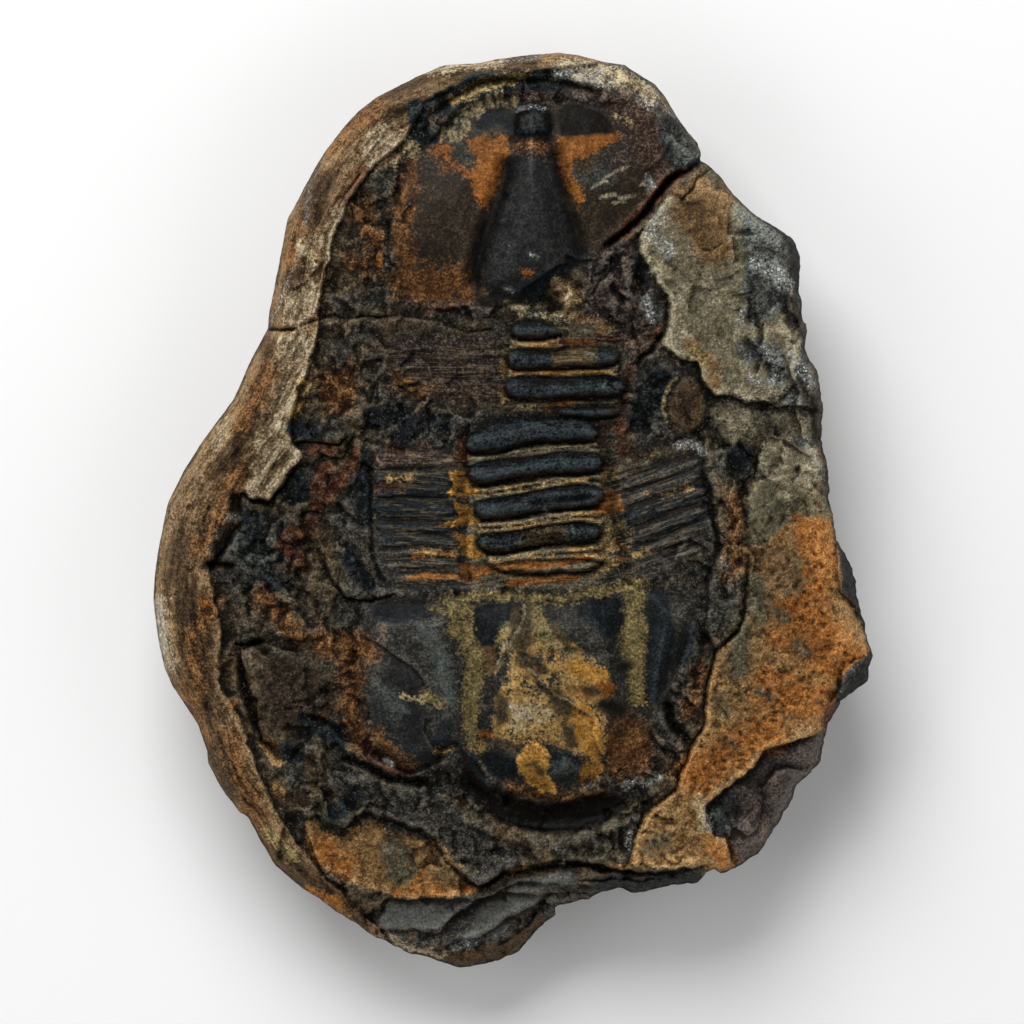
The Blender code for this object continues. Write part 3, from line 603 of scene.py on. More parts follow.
# Smaller broken edges of the stone that were drawn; the low side is on the right of each path
LEDGES = (
    Ledge(pairs(285, 280, 292, 287, 300, 286, 310, 275, 322, 262), 0.6, 16),
    Ledge(pairs(345, 205, 331, 234, 322, 275, 318, 310), 0.4, 12),
    Ledge(pairs(395, 425, 380, 432, 360, 430, 350, 446), 0.6, 14),
    Ledge(pairs(290, 515, 272, 524, 262, 545, 240, 560), 0.7, 18),
    Ledge(pairs(365, 745, 345, 742, 325, 725, 305, 745, 286, 765), 0.8, 16),
    Ledge(pairs(384, 902, 400, 880, 420, 865, 434, 850), 0.3, 12),
    Ledge(pairs(376, 822, 386, 836, 410, 834, 424, 840), 0.3, 10),
    Ledge(pairs(305, 820, 309, 840, 316, 862, 330, 880, 352, 896), 0.6, 12),
    Ledge(pairs(300, 850, 318, 868, 332, 892, 356, 912, 380, 926), 0.7, 12),
    Ledge(pairs(600, 900, 560, 893, 545, 905, 530, 925), 0.6, 12),
    Ledge(pairs(558, 905, 540, 915, 520, 935, 495, 950), 0.6, 10),
    Ledge(pairs(655, 285, 640, 300, 632, 325, 640, 345), 0.6, 16),
    Ledge(pairs(745, 330, 755, 345, 768, 352, 781, 370, 776, 388), 0.7, 14),
    Ledge(pairs(790, 230, 786, 250, 792, 275, 786, 300, 790, 325), 0.8, 16),
    Ledge(pairs(792, 352, 790, 375, 800, 392, 796, 415, 803, 440), 0.8, 14),
    Ledge(pairs(745, 400, 765, 404, 780, 398, 795, 385), 0.6, 14),
    Ledge(pairs(765, 436, 785, 440, 806, 452, 822, 470), 0.6, 14),
    Ledge(pairs(836, 532, 838, 560, 842, 594, 857, 608, 866, 627, 868, 640), 1.6, 22),
    Ledge(pairs(868, 656, 856, 660, 846, 672, 840, 690, 830, 706), 1.4, 20),
    Ledge(pairs(725, 455, 735, 480, 728, 500, 736, 520, 730, 545), 0.5, 12),
    Ledge(pairs(730, 560, 722, 580, 730, 600, 722, 622), 0.5, 12),
    Ledge(pairs(640, 770, 655, 776, 668, 770, 676, 756), 0.6, 14),
    Ledge(pairs(600, 812, 630, 812, 650, 800, 662, 786), 0.7, 14),
    Ledge(pairs(640, 175, 660, 160, 672, 140, 668, 118), 0.4, 18),
    Ledge(pairs(200, 690, 212, 720, 226, 752, 244, 786, 262, 818), 0.6, 12),
)

# Rough stone where more small broken edges are scattered: u, v and reach of each zone, and edges in it
BROKEN_ZONES = (
    (300, 470, 60, 26), (280, 580, 60, 24), (310, 690, 60, 26), (360, 790, 60, 22), (470, 850, 60, 22),
    (360, 370, 60, 18), (355, 240, 40, 12), (625, 300, 40, 14), (640, 400, 26, 7), (720, 300, 60, 8),
    (785, 340, 40, 12), (725, 540, 40, 14), (780, 460, 36, 10), (620, 840, 40, 12), (420, 410, 44, 12),
)
# Steps of an edge and their length in pixels, its first heading and its turns in radians, its drop in
# millimetres, its reach in pixels, and how far inside the split face it stays
EDGE_SEED = 5
EDGE_STEPS = 4
EDGE_STEP = (4, 9)
EDGE_HEADING = (-0.9 * pi, 0.6 * pi)
EDGE_TURN = 0.55
EDGE_DROP = (0.3, 0.95)
EDGE_REACH = (9, 20)
EDGE_MARGIN = 12


def broken_edges():
    """Small broken edges in the zones of rough stone, as walks that turn at random."""
    chance = Random(EDGE_SEED)
    edges = []
    for u, v, reach, count in BROKEN_ZONES:
        for _ in range(count):
            path = [(chance.gauss(u, reach / 2), chance.gauss(v, reach / 2))]
            heading = chance.uniform(*EDGE_HEADING)
            for _ in range(EDGE_STEPS):
                heading += chance.gauss(0, EDGE_TURN)
                step = chance.uniform(*EDGE_STEP)
                path.append((path[-1][0] + step * cos(heading), path[-1][1] + step * sin(heading)))
            edge = Ledge(tuple(path), chance.uniform(*EDGE_DROP), chance.uniform(*EDGE_REACH))
            if depth_inside(np.array(path), SPLIT_OUTLINE).min() > EDGE_MARGIN:
                edges.append(edge)
    return tuple(edges)


THORAX = RINGS + TRENCHES + HALF_RINGS + WORN_RINGS + AXIAL_FURROWS + PLEURAE
FORMS = HEAD + THORAX + TAIL + STONE + CRACKS + LEDGES + broken_edges()
# How far outside its edge the depth of a stain is still told apart, in pixels
MARK_REACH = 14
OUTSIDE = -MARK_REACH


@dataclass
class Patch:
    """A stain, painted shadow or painted glint that fills an outline."""

    points: tuple
    margin = MARK_REACH

    def depth(self, spots):
        return depth_inside(spots, self.points)


@dataclass
class Stroke:
    """A stain, painted shadow or painted glint along a path."""

    points: tuple
    half_width: float

    @property
    def margin(self):
        return MARK_REACH + self.half_width

    def depth(self, spots):
        return self.half_width - trace(spots, self.points)[0]


@dataclass
class Mineral:
    """A colour of the rock, or of painted shadow or highlight, where ragged and blur are in pixels and a
    cover of 1 has the fewest gaps.
    """

    name: str
    ragged: float
    blur: float
    cover: float
    tones: tuple
    marks: tuple


def area(*numbers):
    """A mark that fills an outline, from a row of its corners: a stain, painted shadow or painted glint."""
    return Patch(pairs(*numbers))


def line(half_width, *numbers):
    """A mark along a path, from its half width and a row of its corners: a stain, painted shadow or painted
    glint.
    """
    return Stroke(pairs(*numbers), half_width)


# Marks of the rings: a stain line two thirds across each gap between rings, and a painted shadow along each
# tail-side edge
RING_LINE_PLACE = 0.66
RING_LINE_WIDTH = 1
RING_PAINTED_SHADOW_SHIFT = 1.5
RING_PAINTED_SHADOW_WIDTH = 2.6
RING_LINES = tuple(Stroke(between(*gap, RING_LINE_PLACE), RING_LINE_WIDTH) for gap in GAPS)
RING_PAINTED_SHADOWS = tuple(
    Stroke(tuple((u, v - RING_PAINTED_SHADOW_SHIFT) for u, v in tail), RING_PAINTED_SHADOW_WIDTH) for _, tail in RING_EDGES
)
RING_PATCHES = tuple(Patch(head + tail[-2:0:-1]) for head, tail in RING_EDGES)
SLOPE_OUTLINE = pairs(
    796, 498, 826, 500, 834, 530, 840, 560, 842, 592, 857, 608, 868, 632, 866, 650, 850, 662, 838, 682,
    828, 706, 822, 731, 803, 739, 782, 744, 766, 750, 756, 765, 743, 776, 725, 789, 709, 804, 705, 820,
    711, 835, 724, 837, 728, 851, 732, 864, 718, 872, 700, 868, 640, 868, 629, 862, 637, 831, 645, 815,
    658, 803, 675, 791, 682, 768, 692, 745, 704, 727, 705, 690, 716, 652, 738, 632, 746, 611, 746, 585,
    749, 558, 770, 541, 784, 522,
)

# From the lowest layer to the top one, with tones as display colours from 0 to 255
MINERALS = (
    Mineral("slate", 8, 7, 1, ((7, 8, 9), (42, 41, 38), (98, 94, 86)), (
        area(390, 802, 440, 815, 480, 835, 520, 850, 515, 868, 476, 887, 448, 863, 437, 845, 400, 825),
        area(380, 412, 440, 414, 500, 410, 560, 404, 640, 400, 600, 470, 610, 590, 470, 600, 370, 600,
             376, 450), area(640, 356, 698, 362, 706, 385, 730, 400, 700, 440, 640, 450, 622, 400),
        area(355, 602, 470, 596, 640, 590, 706, 600, 690, 720, 640, 800, 470, 790, 360, 740),
        area(236, 500, 290, 520, 300, 560, 280, 590, 240, 590, 205, 575, 215, 530),
        area(365, 915, 389, 901, 472, 901, 545, 897, 600, 894, 480, 965, 400, 940),
        line(12, 345, 500, 350, 540, 356, 580), line(6, 368, 445, 364, 500, 370, 560),
        area(614, 474, 660, 458, 704, 450, 714, 490, 712, 548, 650, 580, 615, 578),
        line(8, 330, 380, 345, 345, 372, 330), line(8, 290, 426, 310, 430, 335, 428),
        line(7, 335, 303, 370, 300, 420, 306, 470, 312), line(12, 300, 745, 285, 760, 296, 780),
        line(12, 310, 725, 345, 735, 340, 760), line(14, 340, 780, 380, 800, 420, 810),
        line(22, 430, 820, 470, 850, 490, 870), line(14, 410, 110, 420, 135),
        line(14, 600, 110, 650, 115, 690, 150), line(14, 724, 462, 745, 470),
        line(10, 800, 240, 796, 300, 806, 380, 812, 440), line(8, 840, 545, 852, 600, 864, 640),
    )),
    Mineral("purple", 7, 5, 1, ((13, 9, 9), (48, 41, 38), (104, 94, 86)), (
        area(600, 240, 640, 240, 664, 300, 660, 350, 620, 380, 580, 330, 585, 270),
        area(709, 804, 725, 789, 770, 750, 830, 732, 818, 770, 780, 822, 745, 866, 728, 850, 724, 836,
             711, 834),
        area(550, 86, 600, 92, 650, 112, 676, 150, 660, 190, 640, 214, 600, 250, 590, 170, 620, 130,
             560, 104), line(8, 515, 96, 548, 92, 566, 98), area(390, 332, 500, 336, 504, 400, 392, 402),
    )),
    Mineral("mauve", 9, 7, 0.9, ((12, 4, 3), (52, 36, 29), (118, 102, 90)), (
        area(600, 88, 650, 104, 668, 150, 658, 190, 632, 214, 640, 170, 622, 130, 604, 108),
        line(7, 515, 94, 530, 90, 545, 92), line(6, 520, 148, 546, 148),
        line(6, 392, 385, 440, 390, 500, 394), line(6, 378, 459, 450, 459), line(8, 600, 335, 640, 345),
    )),
    Mineral("sage", 5, 3, 1, ((62, 56, 42), (114, 105, 84), (168, 158, 134)), (
        area(664, 200, 640, 236, 641, 252, 653, 273, 666, 296, 668, 318, 662, 344, 679, 358, 698, 360,
             703, 380, 716, 397, 732, 392, 748, 398, 770, 402, 795, 380, 800, 330, 790, 290, 790, 250,
             760, 222, 735, 200, 700, 180),
        area(766, 440, 790, 430, 815, 445, 822, 480, 800, 500, 790, 506, 774, 483, 760, 470),
    )),
    Mineral("green stone", 4, 3, 1, ((66, 62, 46), (104, 98, 76), (132, 126, 102)), (
        area(753, 482, 774, 483, 790, 506, 782, 525, 769, 540, 748, 542, 747, 505),
        line(6, 205, 573, 206, 590, 204, 600),
    )),
    Mineral("slope", 3, 1.5, 1, ((48, 34, 18), (127, 95, 58), (186, 150, 106)), (
        Patch(SLOPE_OUTLINE),
        area(306, 820, 318, 822, 322, 832, 341, 840, 350, 829, 382, 824, 385, 835, 410, 834, 440, 850,
             460, 880, 462, 897, 393, 898, 372, 892, 354, 885, 341, 872, 330, 858, 311, 863, 306, 840),
        area(499, 880, 523, 864, 531, 871, 512, 878), area(596, 874, 612, 866, 630, 862, 640, 870),
        line(5, 262, 740, 270, 748, 278, 762), line(4, 274, 784, 280, 796),
    )),
    Mineral("red slope", 15, 11, 0.75, ((58, 28, 9), (146, 88, 38), (196, 138, 82)), (
        line(18, 812, 520, 818, 560, 812, 600), line(28, 796, 620, 836, 655),
        line(20, 770, 690, 800, 700, 822, 700), line(18, 696, 775, 735, 748, 770, 728),
        line(9, 712, 845, 724, 860), line(9, 322, 850, 345, 866), line(5, 420, 888, 445, 893),
    )),
    Mineral("grey slope", 12, 7, 0.85, ((34, 32, 24), (78, 73, 56), (130, 121, 98)), (
        line(14, 752, 570, 758, 612), line(11, 742, 630, 736, 668), line(6, 775, 612, 783, 620),
        line(5, 800, 644, 806, 652), line(5, 762, 692, 770, 696), line(4, 726, 742, 734, 748),
        line(16, 396, 852, 402, 870), line(6, 652, 850, 662, 842), line(7, 790, 560, 800, 575),
        line(5, 720, 700, 724, 712), line(10, 770, 520, 786, 512), line(12, 800, 504, 826, 506),
    )),
    Mineral("grey sheet", 2.5, 2.5, 1, ((40, 40, 37), (78, 78, 74), (110, 109, 105)), (
        area(389, 903, 415, 900, 470, 902, 454, 916, 438, 930, 415, 930, 378, 928),
        area(480, 905, 502, 895, 545, 899, 520, 910, 491, 928, 470, 936),
        line(7, 455, 946, 475, 940, 500, 930), line(8, 520, 888, 570, 880),
    )),
    Mineral("blue stone", 9, 6, 0.9, ((20, 22, 23), (58, 60, 57), (132, 134, 128)), (
        area(738, 210, 760, 216, 790, 240, 790, 300, 770, 322, 748, 330, 740, 290, 745, 250),
        line(12, 750, 350, 770, 352, 778, 376), line(8, 792, 400, 800, 440), line(6, 650, 300, 652, 312),
    )),
    Mineral("tan stone", 8, 5, 0.9, ((50, 37, 22), (104, 80, 54), (156, 124, 88)), (
        area(676, 190, 696, 174, 712, 187, 728, 190, 733, 198, 727, 236, 735, 260, 705, 268, 690, 240,
             668, 215), line(14, 746, 560, 775, 560, 790, 585), line(12, 430, 852, 450, 874),
        line(8, 486, 650, 488, 665), line(6, 690, 345, 712, 362, 714, 384), line(9, 560, 290, 572, 300),
        line(7, 570, 320, 600, 328),
    )),
    Mineral("crust", 4, 1.8, 1, ((30, 19, 9), (80, 60, 39), (148, 122, 92)), (
        # Its depth comes from the edge of the split face
    )),
    Mineral("dark crust", 10, 7, 1, ((20, 13, 7), (50, 37, 25), (88, 70, 51)), (
        line(10, 378, 115, 398, 110), line(13, 322, 182, 310, 218), line(9, 296, 248, 292, 280),
        line(15, 192, 600, 196, 640, 200, 690), line(12, 198, 700, 214, 750, 242, 800),
        line(9, 262, 400, 240, 440, 225, 470), line(8, 180, 540, 172, 580),
        line(10, 265, 845, 300, 875, 360, 920), line(8, 450, 962, 500, 955, 540, 925),
        line(6, 268, 340, 266, 352), line(8, 246, 470, 258, 480), line(9, 450, 74, 500, 68),
        line(11, 345, 120, 400, 86, 450, 66, 530, 56),
        area(686, 378, 696, 377, 703, 388, 708, 402, 703, 420, 689, 436, 676, 430, 667, 408, 672, 392),
    )),
    Mineral("beige", 8, 3.2, 0.9, ((50, 36, 22), (104, 86, 63), (182, 165, 138)), (
        area(366, 130, 392, 124, 408, 136, 410, 150, 392, 166, 372, 172, 362, 160),
        line(6, 345, 206, 332, 232, 326, 256), line(5, 312, 242, 308, 266),
        area(284, 288, 300, 288, 314, 280, 324, 300, 306, 328, 284, 326),
        area(280, 335, 316, 334, 316, 352, 308, 372, 300, 392, 292, 420, 272, 418, 270, 380),
        area(262, 418, 292, 422, 292, 441, 302, 458, 286, 480, 268, 502, 244, 494, 252, 470, 256, 440),
        # The first two lines here, on the left rim and the head-side rim, are pale crust with a painted
        # highlight on it
        line(8, 160, 604, 158, 630, 168, 665), line(10, 565, 68, 590, 70, 615, 78),
        line(7, 620, 76, 640, 86, 650, 98), line(4, 430, 70, 460, 66, 500, 62), line(4, 230, 420, 215, 445),
        line(4, 384, 938, 400, 948, 440, 958),
    )),
    Mineral("cheek", 9, 6, 1, ((19, 13, 8), (42, 34, 27), (78, 66, 53)), (
        area(262, 655, 300, 664, 330, 690, 326, 725, 290, 740, 262, 730),
        area(420, 170, 470, 180, 494, 196, 486, 215, 478, 250, 474, 268, 440, 264, 412, 262, 402, 220),
        area(578, 200, 605, 170, 645, 168, 660, 185, 640, 210, 600, 250, 582, 250, 574, 220),
    )),
    Mineral("shell", 8, 4, 1, ((12, 12, 13), (30, 30, 31), (58, 58, 57)), (
        Patch(GLABELLA), area(395, 660, 424, 690, 424, 745, 440, 755, 410, 768, 380, 755, 370, 700),
        area(661, 118, 671, 111, 684, 128, 697, 151, 701, 160, 693, 168, 676, 172, 664, 158),
        line(6, 750, 204, 776, 222, 792, 240, 797, 286), line(5, 784, 300, 792, 326),
        line(9, 600, 884, 640, 886, 694, 878),
        area(838, 536, 850, 552, 860, 578, 862, 604, 870, 634, 862, 622, 856, 606, 843, 592, 841, 560),
        area(846, 676, 856, 662, 870, 654, 878, 660, 874, 686, 846, 706, 832, 730, 824, 724, 836, 694),
    )),
    Mineral("fibre", 4, 4, 0.9, ((20, 17, 13), (82, 76, 62), (142, 131, 108)), (
        area(504, 330, 560, 336, 625, 345, 628, 380, 616, 404, 590, 404, 520, 404, 502, 396),
        area(470, 452, 540, 440, 604, 434, 612, 470, 612, 560, 600, 590, 470, 590, 462, 500),
        area(704, 406, 730, 402, 758, 404, 766, 428, 744, 444, 718, 442),
        area(770, 408, 800, 404, 812, 438, 780, 434), line(7, 555, 328, 590, 330),
        line(3, 380, 478, 445, 478),
    )),
    Mineral("navy", 4.5, 2.2, 0.95, ((3, 5, 7), (17, 21, 24), (48, 54, 57)), (
        area(513, 118, 520, 108, 535, 104, 548, 108, 553, 125, 551, 136, 530, 137, 514, 136),
        area(566, 104, 585, 108, 604, 116, 613, 128, 612, 134, 585, 135, 561, 137, 558, 118),
        line(5, 427, 104, 450, 91, 480, 77, 520, 72, 565, 75), line(10, 416, 106, 420, 130, 428, 142),
        line(5, 440, 112, 480, 94, 515, 86, 560, 88), line(8, 482, 122, 500, 114, 512, 124),
        area(474, 609, 490, 603, 514, 603, 535, 610, 527, 628, 506, 644, 479, 647, 474, 633),
        area(578, 604, 597, 594, 618, 596, 625, 612, 621, 631, 608, 639, 589, 626, 578, 615),
        area(648, 590, 668, 594, 676, 640, 668, 680, 656, 704, 640, 704, 646, 660),
        area(482, 751, 500, 752, 517, 760, 517, 776, 505, 784, 488, 772),
        area(552, 752, 575, 752, 584, 764, 580, 780, 560, 782, 550, 770),
        area(519, 300, 524, 284, 538, 276, 553, 267, 573, 260, 580, 266, 564, 273, 551, 283, 543, 298,
             530, 308), area(688, 628, 696, 622, 694, 650, 686, 668, 676, 664, 680, 645),
        area(726, 444, 754, 447, 752, 462, 742, 476, 728, 466), line(9, 380, 612, 400, 614, 425, 610),
        line(5, 378, 479, 448, 479), line(4.5, 378, 493, 452, 494), line(6, 380, 508, 430, 508, 454, 511),
        line(4.5, 380, 527, 410, 527, 450, 531), line(3.4, 384, 540, 450, 543),
        line(8, 362, 458, 364, 490, 362, 520), line(7, 630, 516, 664, 504, 706, 490),
        line(5, 640, 540, 670, 528, 706, 514), line(10, 375, 418, 400, 412, 410, 425, 400, 440),
        line(7, 425, 415, 445, 425), line(8, 332, 812, 345, 806, 352, 796), line(8, 446, 728, 440, 745),
        line(5, 640, 262, 648, 284), line(12, 660, 380, 650, 400, 640, 420), line(7, 222, 520, 215, 545),
        line(5, 387, 228, 387, 236), line(5, 386, 258, 390, 268), line(5, 455, 745, 470, 758, 480, 780),
        line(7, 292, 428, 316, 432), line(8, 284, 748, 298, 756), line(10, 308, 722, 338, 736),
        line(10, 250, 520, 262, 560, 270, 585), line(7, 300, 480, 292, 500), line(6, 350, 470, 344, 490),
        line(8, 350, 560, 368, 585),
    )),
    Mineral("haze", 12, 9, 0.8, ((26, 30, 30), (60, 64, 61), (98, 102, 96)), (
        line(9, 425, 632, 440, 660, 446, 700), line(6, 590, 182, 604, 176), line(7, 384, 690, 400, 715),
        line(6, 560, 765, 575, 770), line(8, 240, 540, 256, 560),
        area(708, 804, 722, 792, 732, 806, 732, 830, 720, 836, 704, 828), line(8, 670, 140, 684, 158),
    )),
    Mineral("rust", 13, 9, 0.8, ((22, 10, 3), (78, 48, 25), (152, 110, 70)), (
        area(400, 262, 440, 266, 474, 268, 480, 290, 468, 302, 430, 303, 396, 296, 386, 280),
        line(9, 412, 168, 404, 200, 400, 235, 408, 262), line(9, 362, 208, 375, 240, 372, 265),
        line(8, 438, 155, 448, 165), line(7, 350, 262, 365, 268), line(5, 516, 146, 546, 147),
        area(320, 374, 350, 366, 358, 386, 350, 408, 326, 412, 316, 394), line(5, 400, 380, 420, 392),
        line(11, 318, 642, 335, 648, 352, 644, 368, 650), line(10, 352, 655, 350, 690, 352, 720, 366, 748),
        line(6, 376, 735, 392, 758, 408, 766),
        area(600, 725, 630, 712, 655, 735, 652, 765, 628, 785, 606, 775),
        line(7, 700, 672, 698, 690, 688, 712), line(7, 228, 735, 236, 765, 250, 795, 264, 830),
        line(6, 215, 600, 190, 640, 200, 690), line(8, 270, 370, 255, 400, 240, 425),
        line(7, 240, 470, 225, 500, 200, 550), line(7, 300, 230, 290, 260),
        line(5, 330, 150, 350, 130, 380, 106), line(6, 735, 500, 736, 530, 730, 570),
        line(5, 512, 790, 560, 800, 600, 795), line(5, 320, 905, 345, 915),
        line(9, 262, 600, 285, 620, 300, 640), line(6, 185, 690, 205, 740), line(6, 240, 812, 262, 850),
    )),
    Mineral("maroon", 12, 6, 0.7, ((16, 5, 2), (60, 31, 20), (116, 80, 58)), (
        line(7, 352, 458, 348, 470, 336, 480, 326, 500, 316, 520), line(7, 312, 452, 330, 448),
        line(8, 316, 520, 300, 532, 286, 540), line(8, 288, 548, 300, 566), line(9, 325, 470, 315, 500),
        line(2.4, 385, 448, 400, 449, 418, 448), line(2.4, 380, 487, 400, 487),
        line(3, 592, 424, 602, 430, 600, 438), line(3, 599, 458, 602, 468), line(2, 588, 344, 595, 345),
        line(1.6, 570, 383, 583, 395), line(3.6, 629, 374, 623, 400, 620, 418, 622, 450),
        line(4, 654, 328, 657, 336), line(5.5, 622, 234, 640, 214, 655, 196, 668, 181, 682, 174),
        line(1.6, 425, 310, 450, 310), line(3, 318, 716, 330, 708),
        line(2.6, 362, 172, 350, 190, 342, 200, 350, 220), line(4, 364, 745, 385, 768, 400, 772),
        line(3.5, 820, 700, 832, 712, 828, 724),
    )),
    Mineral("orange", 6, 2.4, 0.85, ((62, 30, 6), (120, 71, 29), (168, 114, 62)), (
        area(466, 141, 482, 137, 507, 136, 508, 151, 502, 171, 497, 188, 488, 208, 479, 206, 474, 190,
             470, 178, 476, 160, 470, 151), line(2.6, 437, 150, 445, 155, 452, 163, 462, 172, 472, 178),
        line(4.5, 437, 152, 448, 150),
        area(558, 137, 582, 134, 618, 133, 619, 140, 604, 147, 590, 156, 576, 160, 570, 165, 571, 176,
             582, 188, 585, 201, 579, 208, 573, 198, 566, 188, 558, 169, 555, 152),
        line(2.8, 530, 346, 555, 344, 575, 342.5, 593, 344),
        line(2.6, 546, 374, 565, 371, 580, 371, 610, 373), line(2.6, 573, 364, 575, 370),
        line(1.3, 508, 371, 545, 373), line(2.4, 548, 405, 562, 402, 573, 401),
        area(458, 440, 462, 440, 470, 452, 466, 459, 459, 460),
        area(611, 489, 620, 500, 623, 508, 612, 514, 592, 514, 589, 511, 600, 503, 606, 494),
        area(458, 563, 464, 562, 474, 566, 520, 561, 562, 560, 582, 553, 603, 552, 604, 557, 580, 561,
             560, 567, 520, 572, 489, 573, 474, 576, 462, 574), line(3.6, 508, 583, 545, 580, 575, 577),
        line(3.2, 462, 577, 478, 577), line(3, 412, 577, 430, 576, 455, 576),
        line(2.8, 413, 557, 430, 553, 453, 553),
        area(580, 672, 600, 668, 612, 680, 616, 692, 604, 700, 588, 705, 596, 716, 590, 722, 575, 702,
             566, 692), area(580, 782, 583, 765, 595, 763, 600, 773, 589, 780), line(4, 482, 734, 494, 736),
        line(3, 380, 258, 380, 263), line(3, 203, 602, 210, 604), line(3, 524, 273, 530, 274),
        line(5, 309, 890, 325, 900, 341, 908), line(2.4, 394, 897, 411, 888, 424, 874, 430, 860),
        line(4, 463, 888, 471, 890), line(2.6, 230, 708, 234, 704),
    )),
    Mineral("ochre", 8, 3.6, 0.54, ((52, 38, 18), (134, 104, 60), (198, 164, 108)), (
        *RING_LINES[:2], *RING_LINES[4:],
        area(494, 735, 496, 704, 505, 680, 515, 650, 520, 625, 545, 628, 565, 640, 590, 655, 600, 680,
             604, 712, 606, 745, 598, 765, 580, 758, 565, 745, 548, 742, 520, 746),
        line(3, 595, 574, 604, 567, 607, 560, 602, 555),
        line(2, 490, 528, 520, 526, 545, 524, 562, 519, 590, 514),
        area(604, 566, 610, 560, 630, 556, 650, 549, 650, 553, 624, 561, 606, 571),
        area(571, 549, 600, 544, 617, 536, 633, 532, 617, 542, 631, 547, 615, 553, 600, 550),
        line(1.8, 475, 492, 520, 487, 560, 482, 600, 478), line(1.8, 415, 552, 455, 553),
        line(4, 455, 99, 480, 85, 500, 79, 524, 74), line(2.6, 580, 525, 590, 525),
        line(2, 436, 750, 445, 752, 452, 748), line(2.6, 503, 362, 504, 372), line(2.6, 503, 388, 506, 400),
        line(1.6, 650, 496, 690, 488), line(1.6, 390, 480, 410, 479), line(4, 304, 384, 300, 400, 294, 418),
        line(2, 480, 750, 478, 735), line(4, 636, 640, 640, 700), line(3.5, 471, 690, 468, 744),
    )),
    Mineral("gold", 4.5, 2, 0.85, ((50, 32, 10), (148, 104, 44), (214, 162, 88)), (
        area(450, 472, 468, 468, 472, 481, 482, 489, 476, 495, 461, 497, 446, 495, 454, 485),
        area(452, 502, 461, 504, 472, 507, 474, 517, 482, 523, 456, 526, 440, 525, 456, 521, 459, 514),
        area(455, 534, 468, 534, 478, 539, 480, 549, 487, 553, 475, 559, 463, 556, 459, 542),
        area(525, 747, 533, 742, 545, 747, 550, 757, 547, 773, 553, 784, 556, 793, 544, 793, 528, 784,
             518, 770, 517, 760),
        area(566, 700, 590, 706, 602, 730, 604, 752, 594, 762, 582, 750, 572, 730),
        line(6, 588, 772, 598, 768), line(8, 575, 668, 600, 676),
    )),
    Mineral("cream", 7, 3, 0.5, ((88, 75, 50), (142, 124, 90), (200, 184, 148)), (
        # The first two lines are painted highlights, on the tail axis and on the head-side rim; the rest is
        # pale stone
        line(7, 518, 724, 528, 708, 544, 716), line(4, 566, 66, 596, 70, 622, 80),
        line(1.6, 504, 645, 500, 662), line(2.6, 522, 404, 532, 404), line(2, 520, 315, 545, 318, 562, 314),
        line(2, 490, 455, 500, 455), line(2.2, 620, 119, 630, 122), line(3, 506, 303, 518, 307, 526, 306),
        line(4, 700, 802, 702, 828), line(3, 570, 600, 600, 594), line(1.5, 545, 318, 560, 325, 570, 318),
        line(1.2, 520, 488, 560, 484), line(1, 424, 700, 402, 696), line(4, 303, 245, 312, 262),
        line(6, 398, 144, 414, 150), line(5, 558, 284, 572, 300), line(3, 552, 640, 570, 655),
    )),
    Mineral("olive", 6, 3.6, 0.8, ((30, 26, 13), (102, 90, 58), (180, 156, 106)), (
        area(460, 598, 472, 606, 473, 634, 483, 655, 485, 671, 480, 698, 477, 730, 475, 747, 466, 742,
             461, 714, 463, 687, 466, 660, 458, 642, 446, 631, 453, 615, 426, 607, 437, 603),
        line(4, 445, 598, 480, 596, 520, 596, 560, 600, 590, 592, 620, 588, 645, 585),
        area(624, 593, 647, 585, 641, 607, 647, 634, 643, 660, 645, 687, 637, 705, 629, 704, 628, 668,
             618, 644, 626, 620), area(601, 478, 612, 468, 617, 470, 615, 480),
        area(604, 521, 627, 519, 620, 531, 604, 540, 606, 530), line(4, 425, 694, 440, 703),
        line(5, 268, 832, 282, 846, 294, 860),
        area(452, 102, 462, 92, 480, 84, 505, 76, 526, 71, 527, 77, 505, 83, 484, 91, 466, 100),
        line(8, 534, 612, 546, 640), line(5, 500, 640, 512, 625), line(3, 640, 580, 622, 584),
        line(6, 690, 350, 704, 360),
    )),
    Mineral("ring", 2.2, 1.6, 1, ((1, 2, 3), (8, 10, 12), (52, 60, 64)), (
        RING_PATCHES[0], *RING_PATCHES[2:8],
        area(507, 359, 509, 352, 516, 348, 530, 348, 548, 350, 556, 358, 552, 368, 530, 371, 517, 370,
             509, 366),
        area(590, 358, 592, 350, 605, 346, 617, 349, 621, 357, 616, 365, 600, 368, 591, 366),
        area(514, 118, 520, 109, 535, 105, 547, 109, 552, 125, 550, 136, 530, 137, 515, 136),
        area(566, 107, 584, 106, 602, 114, 612, 126, 612, 133, 586, 134, 562, 136, 559, 120),
    )),
    Mineral("brown stain", 11, 3, 0.85, ((18, 13, 8), (50, 41, 28), (96, 82, 58)), (
        area(552, 347, 596, 347, 594, 368, 552, 370), line(5, 528, 536, 560, 533),
        line(4, 520, 545, 566, 541), area(546, 688, 560, 690, 572, 700, 574, 716, 562, 718, 552, 706),
        area(494, 694, 508, 700, 510, 722, 498, 724), area(562, 722, 574, 726, 578, 748, 566, 746),
        line(4, 532, 764, 542, 772), line(5, 602, 706, 624, 710), line(5, 520, 660, 540, 668),
        line(4, 588, 690, 598, 692), line(4, 500, 742, 512, 748),
        area(508, 608, 530, 606, 534, 640, 520, 656, 510, 646), line(5, 556, 630, 570, 650),
    )),
    # Mostly painted shadow: in cracks, along the left glabella furrow, under broken edges and the rings, and
    # in the hollow behind the tail; the dark patch of the right cheek is the stone's own colour
